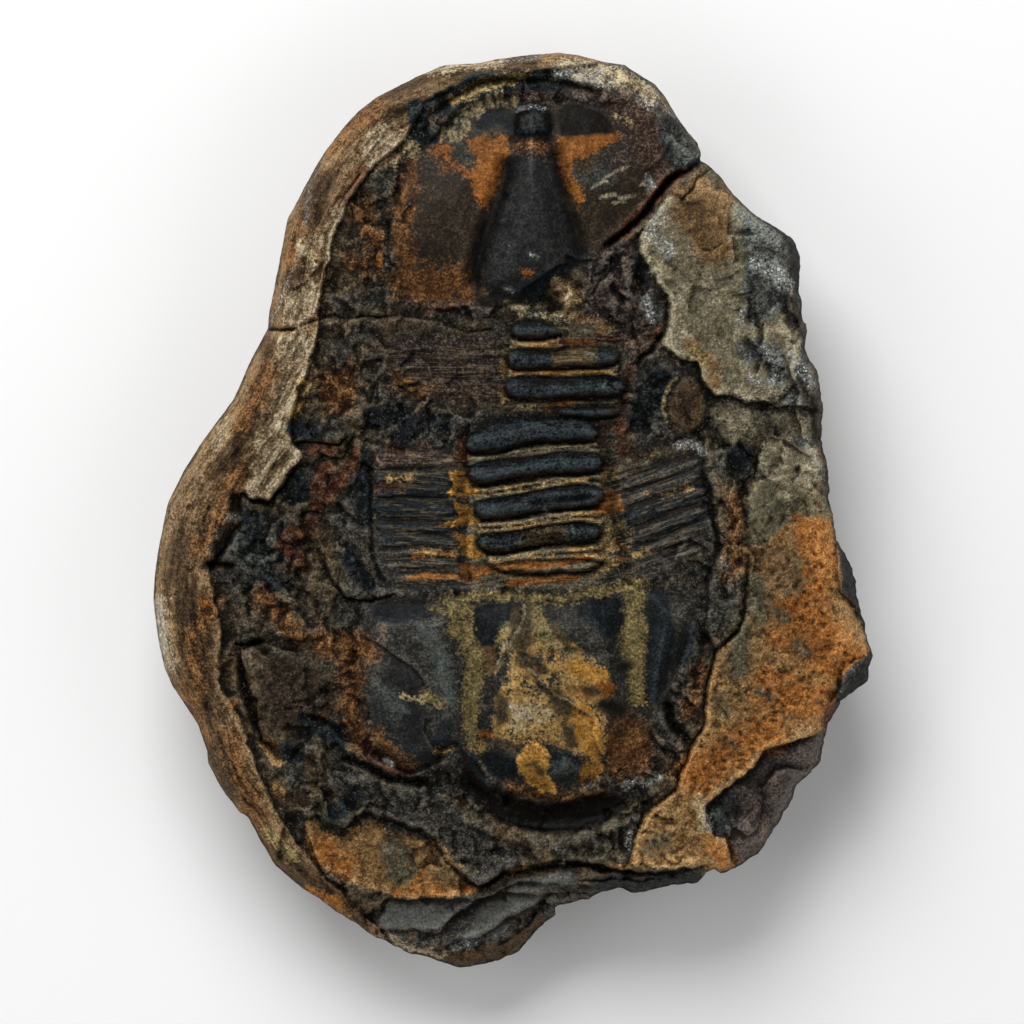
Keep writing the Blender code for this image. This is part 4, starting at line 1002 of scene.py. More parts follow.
    Mineral("black and painted shadow", 6, 4, 0.9, ((2, 1, 1), (14, 10, 7), (42, 33, 23)), (
        area(561, 106, 585, 106, 606, 116, 613, 132, 585, 135, 560, 137, 557, 118),
        line(2.2, 704, 384, 711, 402, 707, 424, 691, 441, 676, 436),
        area(462, 752, 480, 782, 500, 792, 530, 800, 560, 803, 590, 796, 612, 790, 628, 806, 600, 826,
             560, 835, 520, 830, 490, 815, 466, 790), line(4, 204, 566, 220, 564, 234, 567),
        line(5, 346, 758, 368, 768, 392, 778, 425, 784, 445, 770), line(3, 232, 500, 230, 520, 218, 545),
        line(2.4, 235, 642, 262, 644), line(4, 242, 670, 250, 700, 258, 722),
        line(5, 668, 705, 672, 724, 686, 738), line(3, 704, 636, 716, 650), line(1.6, 460, 560, 480, 566),
        line(1.6, 515, 574, 560, 575), line(5, 602, 704, 620, 710), line(2.4, 480, 300, 500, 305, 524, 303),
        line(3, 484, 225, 476, 260, 478, 292), line(3, 258, 498, 268, 504, 284, 486),
        line(3, 594, 420, 618, 412), line(4, 792, 300, 798, 330), line(4, 800, 380, 812, 400, 816, 440),
        line(4, 628, 664, 620, 668), line(3, 640, 868, 622, 872, 580, 866, 520, 876, 480, 892),
        *RING_PAINTED_SHADOWS, line(1.2, 514, 117, 532, 115, 551, 118), line(1.2, 513, 125, 532, 123, 552, 126),
    )),
    Mineral("pale lines", 1.6, 1.2, 0.95, ((60, 54, 38), (118, 106, 78), (176, 160, 124)), (
        # Fine raised terraces of the front border, which fan out from the glabella
        line(1.6, 443, 128, 442, 139), line(1.6, 447, 128, 450, 136, 452, 142),
        line(1.5, 456, 119, 453, 128, 457, 140), line(1.7, 463, 118, 463, 130, 460, 140),
        line(1.6, 468, 118, 469, 128, 466, 135), line(3.2, 464, 112, 470, 115),
        line(1.7, 471, 105, 475, 110, 479, 118), line(3.4, 477, 102, 482, 110),
        line(1.5, 488, 97, 491, 102, 493, 108), line(1.4, 496, 92, 498, 101, 497, 108),
        line(1.3, 501, 90, 502, 101), line(2.6, 512, 99, 518, 100, 514, 105),
        # Rim of the oval knob, veins of the tail and the thorax, and scratches of the cheek
        line(1.8, 682, 377, 671, 382, 665, 392, 662, 408, 667, 420),
        line(1.2, 524, 604, 523, 620, 512, 641, 503, 657, 496, 672),
        line(1.1, 296, 334, 318, 328, 336, 320),
        line(1.1, 527, 668, 540, 681, 554, 695, 568, 701, 581, 710, 594, 717),
        line(1.3, 590, 189, 598, 184, 606, 181), line(1.2, 604, 178, 616, 171, 628, 167),
        line(1.6, 602, 197, 614, 195), line(2, 620, 199, 632, 196), line(1.4, 612, 203, 626, 202),
        line(1, 640, 186, 646, 180),
    )),
)

# Painted glints and painted sheen, with pale scratches of the cheek among them, and the parts with thin veins
# of ochre
PAINTED_GLINTS_AND_SCRATCHES = (
    line(11, 756, 262, 772, 270, 784, 282), line(11, 560, 70, 580, 72, 608, 80), line(7, 640, 98, 652, 104),
    line(4, 645, 182, 648, 190), line(2.6, 590, 189, 606, 181), line(2.4, 604, 178, 628, 167),
    line(2.6, 600, 198, 622, 196), line(3, 620, 200, 634, 196), line(4.5, 647, 176, 654, 186),
    line(5, 742, 312, 740, 322), line(8, 790, 356, 804, 372, 812, 384),
    line(5, 762, 348, 778, 364, 772, 382), line(6, 678, 446, 692, 444, 704, 452),
    line(9, 660, 215, 650, 235, 668, 250), line(5, 806, 445, 822, 470), line(8, 158, 606, 160, 650),
    line(5, 228, 517, 236, 516), line(3, 205, 527, 203, 535), line(6, 625, 786, 634, 780),
    line(5, 645, 786, 660, 778), line(4, 630, 834, 628, 848), line(5, 704, 812, 708, 828),
    line(3, 862, 662, 846, 676, 842, 694), line(2, 508, 246, 512, 252), line(4, 530, 254, 536, 258),
    line(4, 506, 288, 512, 291), line(3, 586, 354, 592, 353), line(2, 602, 388, 606, 382),
    line(3, 545, 510, 552, 516), line(2, 572, 526, 574, 534), line(4, 386, 760, 392, 765),
    line(6, 645, 300, 650, 312, 652, 322), line(3.5, 662, 104, 676, 118), line(3, 672, 136, 688, 158),
    line(3, 516, 110, 535, 106, 546, 110), line(3, 240, 340, 224, 400), line(3, 520, 316, 545, 313),
    line(4, 500, 62, 540, 56), line(4, 688, 160, 700, 152), line(4, 556, 850, 566, 852),
    line(6, 455, 950, 474, 944), line(5, 512, 706, 530, 718), line(3, 790, 400, 792, 415),
    line(4, 720, 560, 726, 570), line(6, 752, 375, 760, 385), line(3, 268, 330, 300, 250, 318, 160),
)
THREADS = (
    area(372, 450, 456, 448, 466, 440, 600, 430, 714, 490, 700, 560, 640, 590, 390, 590),
    area(385, 340, 500, 320, 625, 318, 628, 420, 500, 410, 390, 400),
)

# Parts of the face that are smooth: polished shell, then the finer skin of the stained fields
SMOOTH = (
    Patch(GLABELLA),
    area(420, 150, 470, 110, 640, 100, 680, 160, 600, 250, 570, 290, 500, 306, 410, 300, 396, 260,
         400, 190), *RING_PATCHES[:7],
    area(462, 752, 500, 792, 560, 803, 612, 790, 628, 806, 600, 826, 560, 835, 520, 830, 466, 790),
    area(389, 903, 415, 900, 470, 902, 520, 888, 600, 890, 545, 905, 491, 936, 415, 936, 378, 928),
    area(720, 800, 770, 752, 826, 736, 812, 770, 780, 822, 745, 862, 730, 846, 734, 820),
    area(362, 602, 470, 596, 640, 590, 700, 596, 690, 640, 664, 700, 660, 730, 600, 780, 555, 798, 500, 785,
         470, 750, 412, 774, 364, 748, 354, 690), area(378, 450, 460, 448, 468, 590, 390, 590, 374, 550),
    area(615, 470, 700, 445, 712, 540, 640, 580),
)
# Parts of the face with fine lines along the ribs, and how far those lines are lifted across the plan
LINED = (
    area(372, 450, 456, 448, 466, 470, 470, 590, 398, 590, 378, 550),
    area(385, 340, 500, 345, 505, 400, 390, 396), area(500, 320, 625, 320, 622, 590, 470, 590, 466, 440),
    area(612, 470, 700, 442, 714, 490, 712, 548, 650, 580, 615, 580),
)
RIB_LIFT = ((370, 0), (458, -2), (470, -4), (500, 2), (540, 8), (590, 12), (610, 13), (640, 22), (712, 48))
SLOPE = (Patch(SLOPE_OUTLINE), area(753, 483, 790, 506, 769, 540, 748, 542))
PIT_SIZE = 5
# Flatter broken stone
CALM = (
    area(650, 180, 730, 180, 800, 250, 820, 400, 810, 500, 760, 480, 700, 370, 640, 350, 655, 290),
    area(380, 800, 440, 815, 520, 850, 515, 868, 476, 887, 437, 845, 400, 825),
    area(306, 820, 400, 825, 460, 880, 455, 897, 390, 897, 320, 860),
    area(668, 380, 700, 378, 708, 402, 700, 432, 676, 430),
    area(300, 640, 340, 650, 350, 720, 280, 740, 250, 660), area(360, 318, 500, 325, 500, 345, 380, 345),
)

# Inside this outline the rock is shell and stained field, and outside it rough stone, with a soft border
FOSSIL_OUTLINE = pairs(
    540, 70, 650, 110, 690, 160, 600, 260, 620, 420, 705, 440, 745, 560, 700, 700, 680, 780, 560, 810,
    450, 790, 355, 750, 360, 600, 370, 440, 380, 320, 340, 250, 400, 130,
)
FOSSIL_BORDER = 40
# Broken edges wander off the drawn plan: size of each wander and its reach in pixels, and what is left of it
# over the fossil
WANDERS = ((24, 3.6), (9, 2), (4, 0.7))
FOSSIL_CALM = 0.25
WANDER_STEPS = 3
# Without a seed of its own the wander would differ from run to run
WANDER_SEED = 386

# Soft borders of the kinds of ground in pixels, with the share of a lined part's border outside its edge
SMOOTH_BORDER = 8
SLOPE_BORDER = 4
CALM_BORDER = 10
CRUST_BORDER = 5
LINED_BORDER = 10
LINED_OUTSIDE = 0.4
# How much of the rough relief lined and calm parts lose
LINED_LOSS = 0.8
CALM_LOSS = 0.6

# Noise of shapes: how fast finer octaves fade, how much finer each is, and how many there are
NOISE_FADE = 1
NOISE_STEP = 2
OCTAVES = 3
LEDGE_OCTAVES = 2
# Sets the cells of the facets so far apart that neighbours tilt unlike each other
FACET_SPREAD = 37
# Noise of the small relief: size in pixels and the layer that picks the pattern
SWELLS = {
    "medium": (14, 3.5), "fine": (5, 7.5), "crust swell": (40, 1.5), "slope swell": (45, 2.5),
    "shell swell": (30, 4.5),
}
FACETS = {"broad facets": (26, 0.3), "small facets": (11, 5.3)}
# Pits lie where a noise is above their start, and are at full depth a ramp above it
PIT_LAYER = 12.5
PIT_START = 0.2
PIT_RAMP = 0.4
# Streaks: how finely they change round the rock, their spacing in pixels, how fast finer ones fade, and how
# much closer they lie on ribs
STREAK_TURNS = 6
STREAK_SPACING = 9
STREAK_FADE = 0.8
RIB_STREAKS = 2.2
# Height in millimetres of each kind of small relief on each kind of ground
RELIEF = {
    "rough": {"broad facets": 0.8, "small facets": 0.4, "medium": 0.22, "fine": 0.22},
    "crust": {"crust swell": 0.45, "medium": 0.25, "fine": 0.14, "rim streaks": 0.45},
    "lined": {"rib streaks": 0.22},
    "slope": {"slope swell": 0.35, "medium": 0.14, "fine": 0.16, "pits": -0.45},
    "smooth": {"shell swell": 0.1, "medium": 0.03, "fine": 0.015},
}
# Ribs rise to the right from this v on, and come to their full rise over a run in pixels
RIB_START = 390
RIB_RUN = 60
# The ragged rim: size of its noise in pixels, its layer, its reach on worn crust and what broken wall adds
RIM_RAGGED = ((12, 8.5, 0.5, 1.6), (5, 9.5, 0.2, 0.5))

# The wall: rows of spots, height of a layer of stone in metres, and how far layers stand out in pixels
WALL_ROWS = 15
LAYER_HEIGHT = 0.0032
LAYER_REACH = 9
# How far layers waver, over which length in pixels, how long their ledges are, and how unlike two layers are
LAYER_WAVER = 0.4
WAVER_SIZE = 90
WAVER_LAYER = 2.5
LEDGE_SIZE = 45
LAYER_SHIFT = 3.7
# How the wall is worn: reach and size in pixels, and how its noise changes down the wall
WALL_WEAR = 5
WEAR_SIZE = 30
WEAR_CHANGE = 4
# How late a broken wall draws in towards the rest face, where 1 is evenly
BROKEN_POWER = 1.5
# The rest face: depth of its hollows in metres, their size in pixels, their flat border in steps, and the
# number of rim spots on each side that round its edge
REST_HOLLOW = 0.0006
HOLLOW_SIZE = 26
HOLLOW_LAYER = 6.5
REST_BORDER = 3
REST_SMOOTHING = 14

# Room in pixels over which colours of the face run out down the wall, and what the wall loses of the streaks
WALL_FADE = 26
WALL_LOSS = 0.3
# On the wall the crust is at its full depth where worn, and this many times that less where broken
BROKEN_CRUST = 1.6
# Borders in pixels of the painted glints and scratches, of the ochre veins and of the rings, and what rings
# keep of the streaks
GLINT_BORDER = 4
THREAD_BORDER = 10
RING_BORDER = 4
RING_STREAKS = 0.4
# Broad change from blue to brown stone: its middle, its spread, and the size and layer of its noise
WARMTH_MIDDLE = 0.3
WARMTH_SPREAD = 0.9
WARMTH_SIZE = 55
WARMTH_LAYER = 10.5

# How far a vertex stands out from those around, from which the material paints shade in cracks and highlights
# on crests: rounds of averaging, its full scale in metres, and weight
HOLLOW_SCALES = ((4, 0.00027, 0.55), (30, 0.0008, 0.55))

# Tones as display colours: bluish and brownish bare stone, painted glints, painted sheen, dust and veins
MATRIX_COOL = ((11, 12, 12), (42, 42, 38), (92, 91, 82))
MATRIX_WARM = ((23, 16, 9), (63, 51, 37), (114, 98, 76))
PAINTED_GLINT_TONE = (240, 238, 230)
PAINTED_SHEEN_TONE = (168, 172, 168)
DUST_TONE = (150, 138, 112)
THREAD_TONE = (138, 112, 74)
# Linear factors that make a colour bluer or browner
LEAN_COOL = (0.9, 1.0, 1.1, 1)
LEAN_WARM = (1.08, 1.0, 0.86, 1)
# Where the gap pattern starts to close a stain that covers all, what an open one adds, and how soft gaps are
FULL_COVER = 0.2
OPEN_COVER = 0.4
GAP_EDGE = 0.14

# Noise of the material: size in pixels, detail, roughness and shift to another pattern
BROAD_NOISE = (15, 4, 0.7, 0)
MIDDLE_NOISE = (8, 4, 0.7, 5)
FINE_NOISE = (2.6, 3, 0.7, 7)
BUMP_NOISE = (6, 3, 0.8, 13)
STREAK_DETAIL = 2
STREAK_ROUGHNESS = 0.7
GRAIN_SIZE = 1.7
# The part of a noise's range that is spread out over 0 to 1
NOISE_SPAN = (0.25, 0.75)
# What each pattern adds to the tone, the warmth, the ragged edges, the gaps of a stain and the painted sheen;
# the hollow share paints crests lighter and cracks darker, as painted highlight and shade
TONE_START = -0.39
TONE_SHARES = {"broad": 0.32, "middle": 0.42, "fine": 0.78, "grain": 0.26, "hollow": 0.26, "lines": 0.55}
WARMTH_START = -0.22
WARMTH_SHARES = {"broad": 0.35, "tint": 0.5, "warmth": 0.9}
RAGGED_START = -1.1
RAGGED_SHARES = ({"broad": 1.3, "fine": 0.9}, {"middle": 1.3, "fine": 0.9})
GAP_SHARES = {"broad": 0.42, "vein": 0.35, "fine": 0.23}
PAINTED_SHEEN_SHARES = {"fine": 0.6, "vein": 0.6}
# Thin bands: where in the noise they lie, how wide they are, and the number in and beyond them
THREAD_BAND = (0.16, 0.06, 0.5, 0)
CRACK_BAND = (0.5, 0.035, 0.45, 1)
# Factors on the colour from crack to crest, painted shade to painted highlight, and from speckle to speckle
PAINTED_SHADE_AND_HIGHLIGHT = (0.32, 1.42)
SPECKLE_SHADES = (0.7, 1.3)
# Where dust flecks, the painted sheen and painted glints start and are full, and how much they cover
DUST_SPAN = (0.9, 0.97, 0, 0.3)
PAINTED_SHEEN_SPAN = (0.45, 0.95, 0, 0.75)
PAINTED_GLINT_SPAN = (0.84, 0.93)

# Streaks in the stone: width and length in pixels
STREAK_WIDTH = 3
STREAK_LENGTH = 34

# Height of the fine grain in metres, what streaks add to it, and what shell keeps of it
GRAIN_HEIGHT = 0.0004
STREAK_HEIGHT = 0.5
SHELL_GRAIN = 0.16
# The finish of bare stone and of shell
STONE_ROUGHNESS = 0.78
SHELL_ROUGHNESS = 0.45
SPECULAR = 0.07

# Camera straight above the middle of the picture, in plan pixels and metres
PICTURE_SIDE = 1024
PICTURE_MIDDLE = np.array((512, 512))
CAMERA_DISTANCE = 2.5

# Soft lights: name, place and size in metres, and power in watts, and the strength of the light all round
LIGHTS = (
    ("key", (-0.3, 0.9, 0.95), 0.9, 17.5),
    ("left_fill", (-1.0, -0.1, 0.9), 0.9, 3.4),
    ("right_fill", (0.95, -0.2, 0.9), 0.9, 2.6),
    ("tail_fill", (0.1, -1.0, 0.9), 0.9, 1.9),
)
WORLD_STRENGTH = 0.16
FLOOR_BRIGHTNESS = 0.95
PAPER_ROUGHNESS = 0.9
PAPER_SPECULAR = 0.1
# The floor's half side and its height in metres
FLOOR_REACH = 3
FLOOR_GAP = -0.0002


def fractal(places, layer):
    """Smooth noise between about -1 and 1 at each place; the layer picks one pattern."""
    return np.array([noise.fractal((u, v, layer), NOISE_FADE, NOISE_STEP, OCTAVES) for u, v in places])


def facets(places, layer):
    """Flat broken facets about one unit wide that tilt and stand at random, between about -1 and 1."""
    heights = []
    for u, v in places:
        centre = noise.voronoi((u, v, layer))[1][0]
        tilt = noise.cell_vector(centre * FACET_SPREAD)
        heights.append((u - centre.x) * (2 * tilt.x - 1) + (v - centre.y) * (2 * tilt.y - 1) + tilt.z - 0.5)
    return np.array(heights)


def wander(spots):
    """How far the drawn plan is off from each spot, so that drawn edges turn out ragged."""
    shift = np.zeros_like(spots)
    for size, reach in WANDERS:
        shift += reach * np.array([noise.noise_vector((u, v, size))[:2] for u, v in spots / size])
    stone = ease(0.5 - depth_inside(spots, FOSSIL_OUTLINE) / FOSSIL_BORDER)
    return (FOSSIL_CALM + (1 - FOSSIL_CALM) * stone)[:, None] * shift


def rim_profile(spots):
    """Shoulder width, drop, rest-face inset and brokenness of the wall at each spot's bearing."""
    bearings = np.degrees(np.arctan2(spots[:, 0] - PLAN_MIDDLE[0], PLAN_MIDDLE[1] - spots[:, 1])) % 360
    rows = np.array(RIM, float)
    return [np.interp(bearings, rows[:, 0], rows[:, column]) for column in (1, 2, 3, 4)]


def broad_face(spots):
    """The slow swell of the split face, blended between the levels."""
    total = np.zeros(len(spots))
    weights = np.zeros(len(spots))
    for u, v, level in FACE_LEVELS:
        weight = np.exp(-((spots[:, 0] - u) ** 2 + (spots[:, 1] - v) ** 2) / (2 * LEVEL_REACH**2))
        total += weight * level
        weights += weight
    return total / weights


def marked_depth(spots, marks):
    """How deep each spot lies inside the nearest of the marks, from OUTSIDE up."""
    depths = np.full(len(spots), float(OUTSIDE))
    for mark in marks:
        reached = near(mark, spots)
        if len(reached):
            depths[reached] = np.maximum(depths[reached], mark.depth(spots[reached]))
    return depths


def within(drawn, marks, border, outside=0.5):
    """1 inside the marks and 0 beyond their soft border, of which a share lies outside their edge."""
    return ease(outside + marked_depth(drawn, marks) / border)


def crust_share(drawn):
    """1 on the worn crust and 0 on the split face."""
    return ease(0.5 - depth_inside(drawn, SPLIT_OUTLINE) / CRUST_BORDER)


def lay(drawn):
    """A plan coordinate across the ribs, which rise to the right of the axis."""
    lift = np.interp(drawn[:, 0], *np.transpose(RIB_LIFT))
    return drawn[:, 1] + lift * ease((drawn[:, 1] - RIB_START) / RIB_RUN)


def small_relief(spots, drawn, rim_gap):
    """The kinds of small relief at each spot, most of them between about -1 and 1."""
    kinds = {name: fractal(spots / size, layer) for name, (size, layer) in SWELLS.items()}
    kinds.update({name: facets(spots / size, layer) for name, (size, layer) in FACETS.items()})
    kinds["pits"] = ease((fractal(spots / PIT_SIZE, PIT_LAYER) - PIT_START) / PIT_RAMP)
    kinds["rim streaks"] = streaks(spots, rim_gap)
    kinds["rib streaks"] = streaks(spots, RIB_STREAKS * lay(drawn))
    return kinds


def grounds(drawn):
    """How much each spot belongs to each kind of ground, where rough stone is what the others leave."""
    shares = {
        "crust": crust_share(drawn),
        "lined": within(drawn, LINED, LINED_BORDER, LINED_OUTSIDE),
        "slope": within(drawn, SLOPE, SLOPE_BORDER),
        "smooth": within(drawn, SMOOTH, SMOOTH_BORDER),
    }
    rough = (1 - shares["smooth"]) * (1 - shares["slope"]) * (1 - shares["crust"])
    rough *= 1 - LINED_LOSS * shares["lined"]
    shares["rough"] = rough * (1 - CALM_LOSS * within(drawn, CALM, CALM_BORDER))
    return shares


def texture(spots, drawn, rim_gap):
    """Small relief in millimetres: facets on rough stone, lumps and streaks on crust, little on shell."""
    kinds = small_relief(spots, drawn, rim_gap)
    shares = grounds(drawn)
    relief = np.zeros(len(spots))
    for ground, heights in RELIEF.items():
        relief += shares[ground] * sum(height * kinds[kind] for kind, height in heights.items())
    return relief


def streaks(spots, across):
    """Ridges that are long round the rock and narrow across it, between about -1 and 1."""
    bearings = np.arctan2(spots[:, 0] - PLAN_MIDDLE[0], spots[:, 1] - PLAN_MIDDLE[1])
    along = np.cos(bearings) * STREAK_TURNS, np.sin(bearings) * STREAK_TURNS
    places = zip(*along, across / STREAK_SPACING)
    return np.array([noise.fractal(place, STREAK_FADE, NOISE_STEP, OCTAVES) for place in places])


def face_heights(spots, rim_gap):
    """Height of the upper face in metres; rim_gap is the distance to the rock's outline in pixels."""
    drawn = spots + wander(spots)
    relief = CRUST_RISE + broad_face(spots) + texture(spots, drawn, rim_gap)
    for form in FORMS:
        reached = near(form, drawn)
        relief[reached] += form.height(drawn[reached])
    shoulder, drop = rim_profile(spots)[:2]
    relief -= drop * (1 - dome(rim_gap / shoulder))
    return FACE_HEIGHT + relief * MILLIMETRE


def to_metres(spots, heights):
    """Plan pixels and heights as points of the model."""
    away = (spots - PLAN_MIDDLE) * PIXEL
    return np.column_stack((away[:, 0], -away[:, 1], heights))


def honeycomb(step):
    """Evenly spread spots over the whole plan."""
    low = np.min(ROCK_OUTLINE, axis=0)
    high = np.max(ROCK_OUTLINE, axis=0)
    rows = np.arange(low[1], high[1], step * np.sqrt(0.75))
    columns = np.arange(low[0], high[0], step)
    return np.array([(u + step * 0.5 * (row % 2), v) for row, v in enumerate(rows) for u in columns])


def guide_spots():
    """Spots along crests, furrows and broken edges, where the wandering takes them."""
    drawn = np.concatenate([resample(guide, GUIDE_STEP) for form in FORMS for guide in form.guides()])
    spots = drawn
    for _ in range(WANDER_STEPS):
        spots = drawn - wander(spots)
    return spots


def spread_out(groups):
    """Joins groups of (spots, gap) in order, leaving out each spot nearer than its gap to one before."""
    cells = defaultdict(list)
    for spots, gap in groups:
        for spot in spots:
            column, row = (int(value // CELL) for value in spot)
            around = [other for i in (-1, 0, 1) for j in (-1, 0, 1) for other in cells[column + i, row + j]]
            if all(dist(spot, other) >= gap for other in around):
                cells[column, row].append(tuple(spot))
    return np.array([spot for cell in cells.values() for spot in cell])


def rim_spots():
    """The rock's outline, ragged where its wall is broken."""
    rim = resample(closed(ROCK_OUTLINE), RIM_STEP)
    broken = rim_profile(rim)[3]
    away = (rim - PLAN_MIDDLE) / np.hypot(*(rim - PLAN_MIDDLE).T)[:, None]
    ragged = np.zeros(len(rim))
    for size, layer, worn, more in RIM_RAGGED:
        ragged += (worn + more * broken) * fractal(rim / size, layer)
    return rim + away * ragged[:, None]


def face_spots(rim):
    """All spots of the upper face within the rim, and their gaps to it."""
    fossil = honeycomb(FOSSIL_STEP)
    fossil = fossil[inside(fossil, FOSSIL_OUTLINE)]
    stone = honeycomb(STONE_STEP)
    spots = spread_out([(guide_spots(), GUIDE_GAP), (fossil, GUIDE_ROOM), (stone, GUIDE_ROOM)])
    spots = spots[inside(spots, rim)]
    gaps = trace(spots, closed(rim))[0]
    return spots[gaps > RIM_ROOM], gaps[gaps > RIM_ROOM]


def soften(ring):
    """Rounds a closed ring by averaging each point with its neighbours."""
    shifts = range(-REST_SMOOTHING, REST_SMOOTHING + 1)
    return sum(np.roll(ring, shift, axis=0) for shift in shifts) / len(shifts)


def wall_row(rim, rim_heights, share):
    """One row of the wall, worn round or broken in layers: share 0 is the rim and 1 the rest face's edge."""
    _, _, rest_inset, broken = rim_profile(rim)
    turn = share * np.pi / 2
    heights = rim_heights * (1 - (1 - broken) * np.sin(turn) - broken * share)
    inset = rest_inset * ((1 - broken) * (1 - np.cos(turn)) + broken * share**BROKEN_POWER)
    if share < 1:
        layers = np.floor(heights / LAYER_HEIGHT + LAYER_WAVER * fractal(rim / WAVER_SIZE, WAVER_LAYER))
        places = zip(*(rim / LEDGE_SIZE).T, layers * LAYER_SHIFT)
        steps = np.array([noise.fractal(place, NOISE_FADE, NOISE_STEP, LEDGE_OCTAVES) for place in places])
        inset += broken * LAYER_REACH * steps * np.sin(share * np.pi) ** 0.5
        inset += WALL_WEAR * np.sin(share * np.pi) * fractal(rim / WEAR_SIZE, share * WEAR_CHANGE)
    away = rim + (soften(rim) - rim) * share - PLAN_MIDDLE
    worn = away * (1 - inset / np.hypot(*away.T))[:, None]
    return to_metres(PLAN_MIDDLE + worn, np.maximum(heights, 0))


def triangles_within(spots, count):
    """Triangles that join the spots, of which the first ones are the rim."""
    return delaunay_2d_cdt([Vector(spot) for spot in spots], [], [list(range(count))], 1, 0)[2]


def underside(ring):
    """The rest face inside its edge: flat with shallow hollows."""
    low, high = ring[:, :2].min(axis=0), ring[:, :2].max(axis=0)
    step = REST_STEP * PIXEL
    columns, rows = (np.arange(low[axis], high[axis], step) for axis in (0, 1))
    grid = np.array([(x, y) for x in columns for y in rows])
    grid = grid[inside(grid, ring[:, :2])]
    gaps = trace(grid, closed(ring[:, :2]))[0]
    grid, gaps = grid[gaps > step / 2], gaps[gaps > step / 2]
    hollow = np.clip(fractal(grid / (HOLLOW_SIZE * PIXEL), HOLLOW_LAYER), 0, 1)
    return np.column_stack((grid, REST_HOLLOW * hollow * ease(gaps / (REST_BORDER * step))))


def build_rock():
    """The mesh of the whole rock and, for its spots, their plan places and how far down the wall they are."""
    rim = rim_spots()
    count = len(rim)
    spots, gaps = face_spots(rim)
    spots, gaps = np.vstack((rim, spots)), np.concatenate((np.zeros(count), gaps))
    face = to_metres(spots, face_heights(spots, gaps))
    rows = [wall_row(rim, face[:count, 2], (row + 1) / WALL_ROWS) for row in range(WALL_ROWS)]
    rest = underside(rows[-1])
    # The plan counts v downwards, so its triangles are turned over to face up
    faces = [tuple(reversed(triangle)) for triangle in triangles_within(spots, count)]
    starts = [0] + [len(spots) + row * count for row in range(WALL_ROWS)]
    for upper, lower in zip(starts[:-1], starts[1:]):
        for index in range(count):
            after = (index + 1) % count
            faces.append((upper + index, upper + after, lower + after))
            faces.append((upper + index, lower + after, lower + index))
    ring = np.vstack((rows[-1][:, :2], rest[:, :2]))
    for triangle in triangles_within(ring, count):
        faces.append(tuple(starts[-1] + corner for corner in reversed(triangle)))
    mesh = bpy.data.meshes.new("trilobite_fossil")
    points = np.vstack([face] + rows + [rest])
    mesh.from_pydata(points.tolist(), [], faces)
    mesh.polygons.foreach_set("use_smooth", [True] * len(mesh.polygons))
    places = np.vstack([spots] + [rim] * WALL_ROWS + [np.tile(PLAN_MIDDLE, (len(rest), 1))])
    down = [np.linalg.norm(row - face[:count], axis=1) / PIXEL for row in rows]
    down = np.concatenate([np.zeros(len(spots))] + down + [np.full(len(rest), PLAN_LENGTH)])
    gaps = np.concatenate((gaps, np.zeros(len(places) - len(gaps))))
    return mesh, places, gaps, down


def settled(mesh, values, rounds):
    """Values at the mesh's vertices, averaged with their neighbours over and over."""
    ends = np.empty(2 * len(mesh.edges), int)
    mesh.edges.foreach_get("vertices", ends)
    ends = ends.reshape(-1, 2)
    count = len(values)
    shares = np.bincount(ends.ravel(), minlength=count) + 1
    for _ in range(rounds):
        total = values.copy()
        total += np.bincount(ends[:, 0], values[ends[:, 1]], count)
        total += np.bincount(ends[:, 1], values[ends[:, 0]], count)
        values = total / shares
    return values


def hollows(mesh):
    """How far each vertex stands proud of those around it, from about -1 in a crack to 1 on a crest."""
    heights = np.empty(3 * len(mesh.vertices))
    mesh.vertices.foreach_get("co", heights)
    heights = heights.reshape(-1, 3)[:, 2]
    total = np.zeros(len(heights))
    for rounds, reach, weight in HOLLOW_SCALES:
        total += weight * np.clip((heights - settled(mesh, heights, rounds)) / reach, -1, 1)
    return total


def add_fields(mesh, places, gaps, down):
    """Keeps what the material reads as numbers at the vertices."""
    drawn = places + wander(places)
    wall = ease(down / WALL_FADE)
    broken = rim_profile(places)[3]
    fields = {mineral.name: marked_depth(drawn, mineral.marks) for mineral in MINERALS}
    for name, depths in fields.items():
        fields[name] = depths + (OUTSIDE - depths) * wall
    crust = np.clip(-depth_inside(drawn, SPLIT_OUTLINE), OUTSIDE, MARK_REACH)
    fields["crust"] = crust + ((1 - BROKEN_CRUST * broken) * MARK_REACH - crust) * wall
    fields["painted_glint_and_scratch"] = within(drawn, PAINTED_GLINTS_AND_SCRATCHES, GLINT_BORDER, outside=0) * (1 - wall)
    fields["smooth"] = within(drawn, SMOOTH, SMOOTH_BORDER) * (1 - wall)
    bare = ease(0.5 - fields["ring"] / RING_BORDER)
    lined = np.maximum(crust_share(drawn), within(drawn, LINED, LINED_BORDER, LINED_OUTSIDE))
    fields["lined"] = lined * (1 - WALL_LOSS * wall) * (RING_STREAKS + (1 - RING_STREAKS) * bare)
    fields["threads"] = within(drawn, THREADS, THREAD_BORDER, outside=0) * bare * (1 - wall)
    fields["lay"] = np.where(crust_share(drawn) > 0.5, gaps, lay(drawn)) + down
    fields["warmth"] = WARMTH_MIDDLE + WARMTH_SPREAD * fractal(places / WARMTH_SIZE, WARMTH_LAYER)
    # The material paints shade in cracks and highlights on crests from this field
    fields["hollow"] = hollows(mesh) * (1 - wall)
    for name, values in fields.items():
        mesh.attributes.new(name, "FLOAT", "POINT").data.foreach_set("value", values.astype(np.float32))


def linear(tone):
    """A display colour from 0 to 255 as the shader's own values."""
    tone = np.array(tone) / 255
    return (*np.where(tone <= 0.04045, tone / 12.92, ((tone + 0.055) / 1.055) ** 2.4), 1)


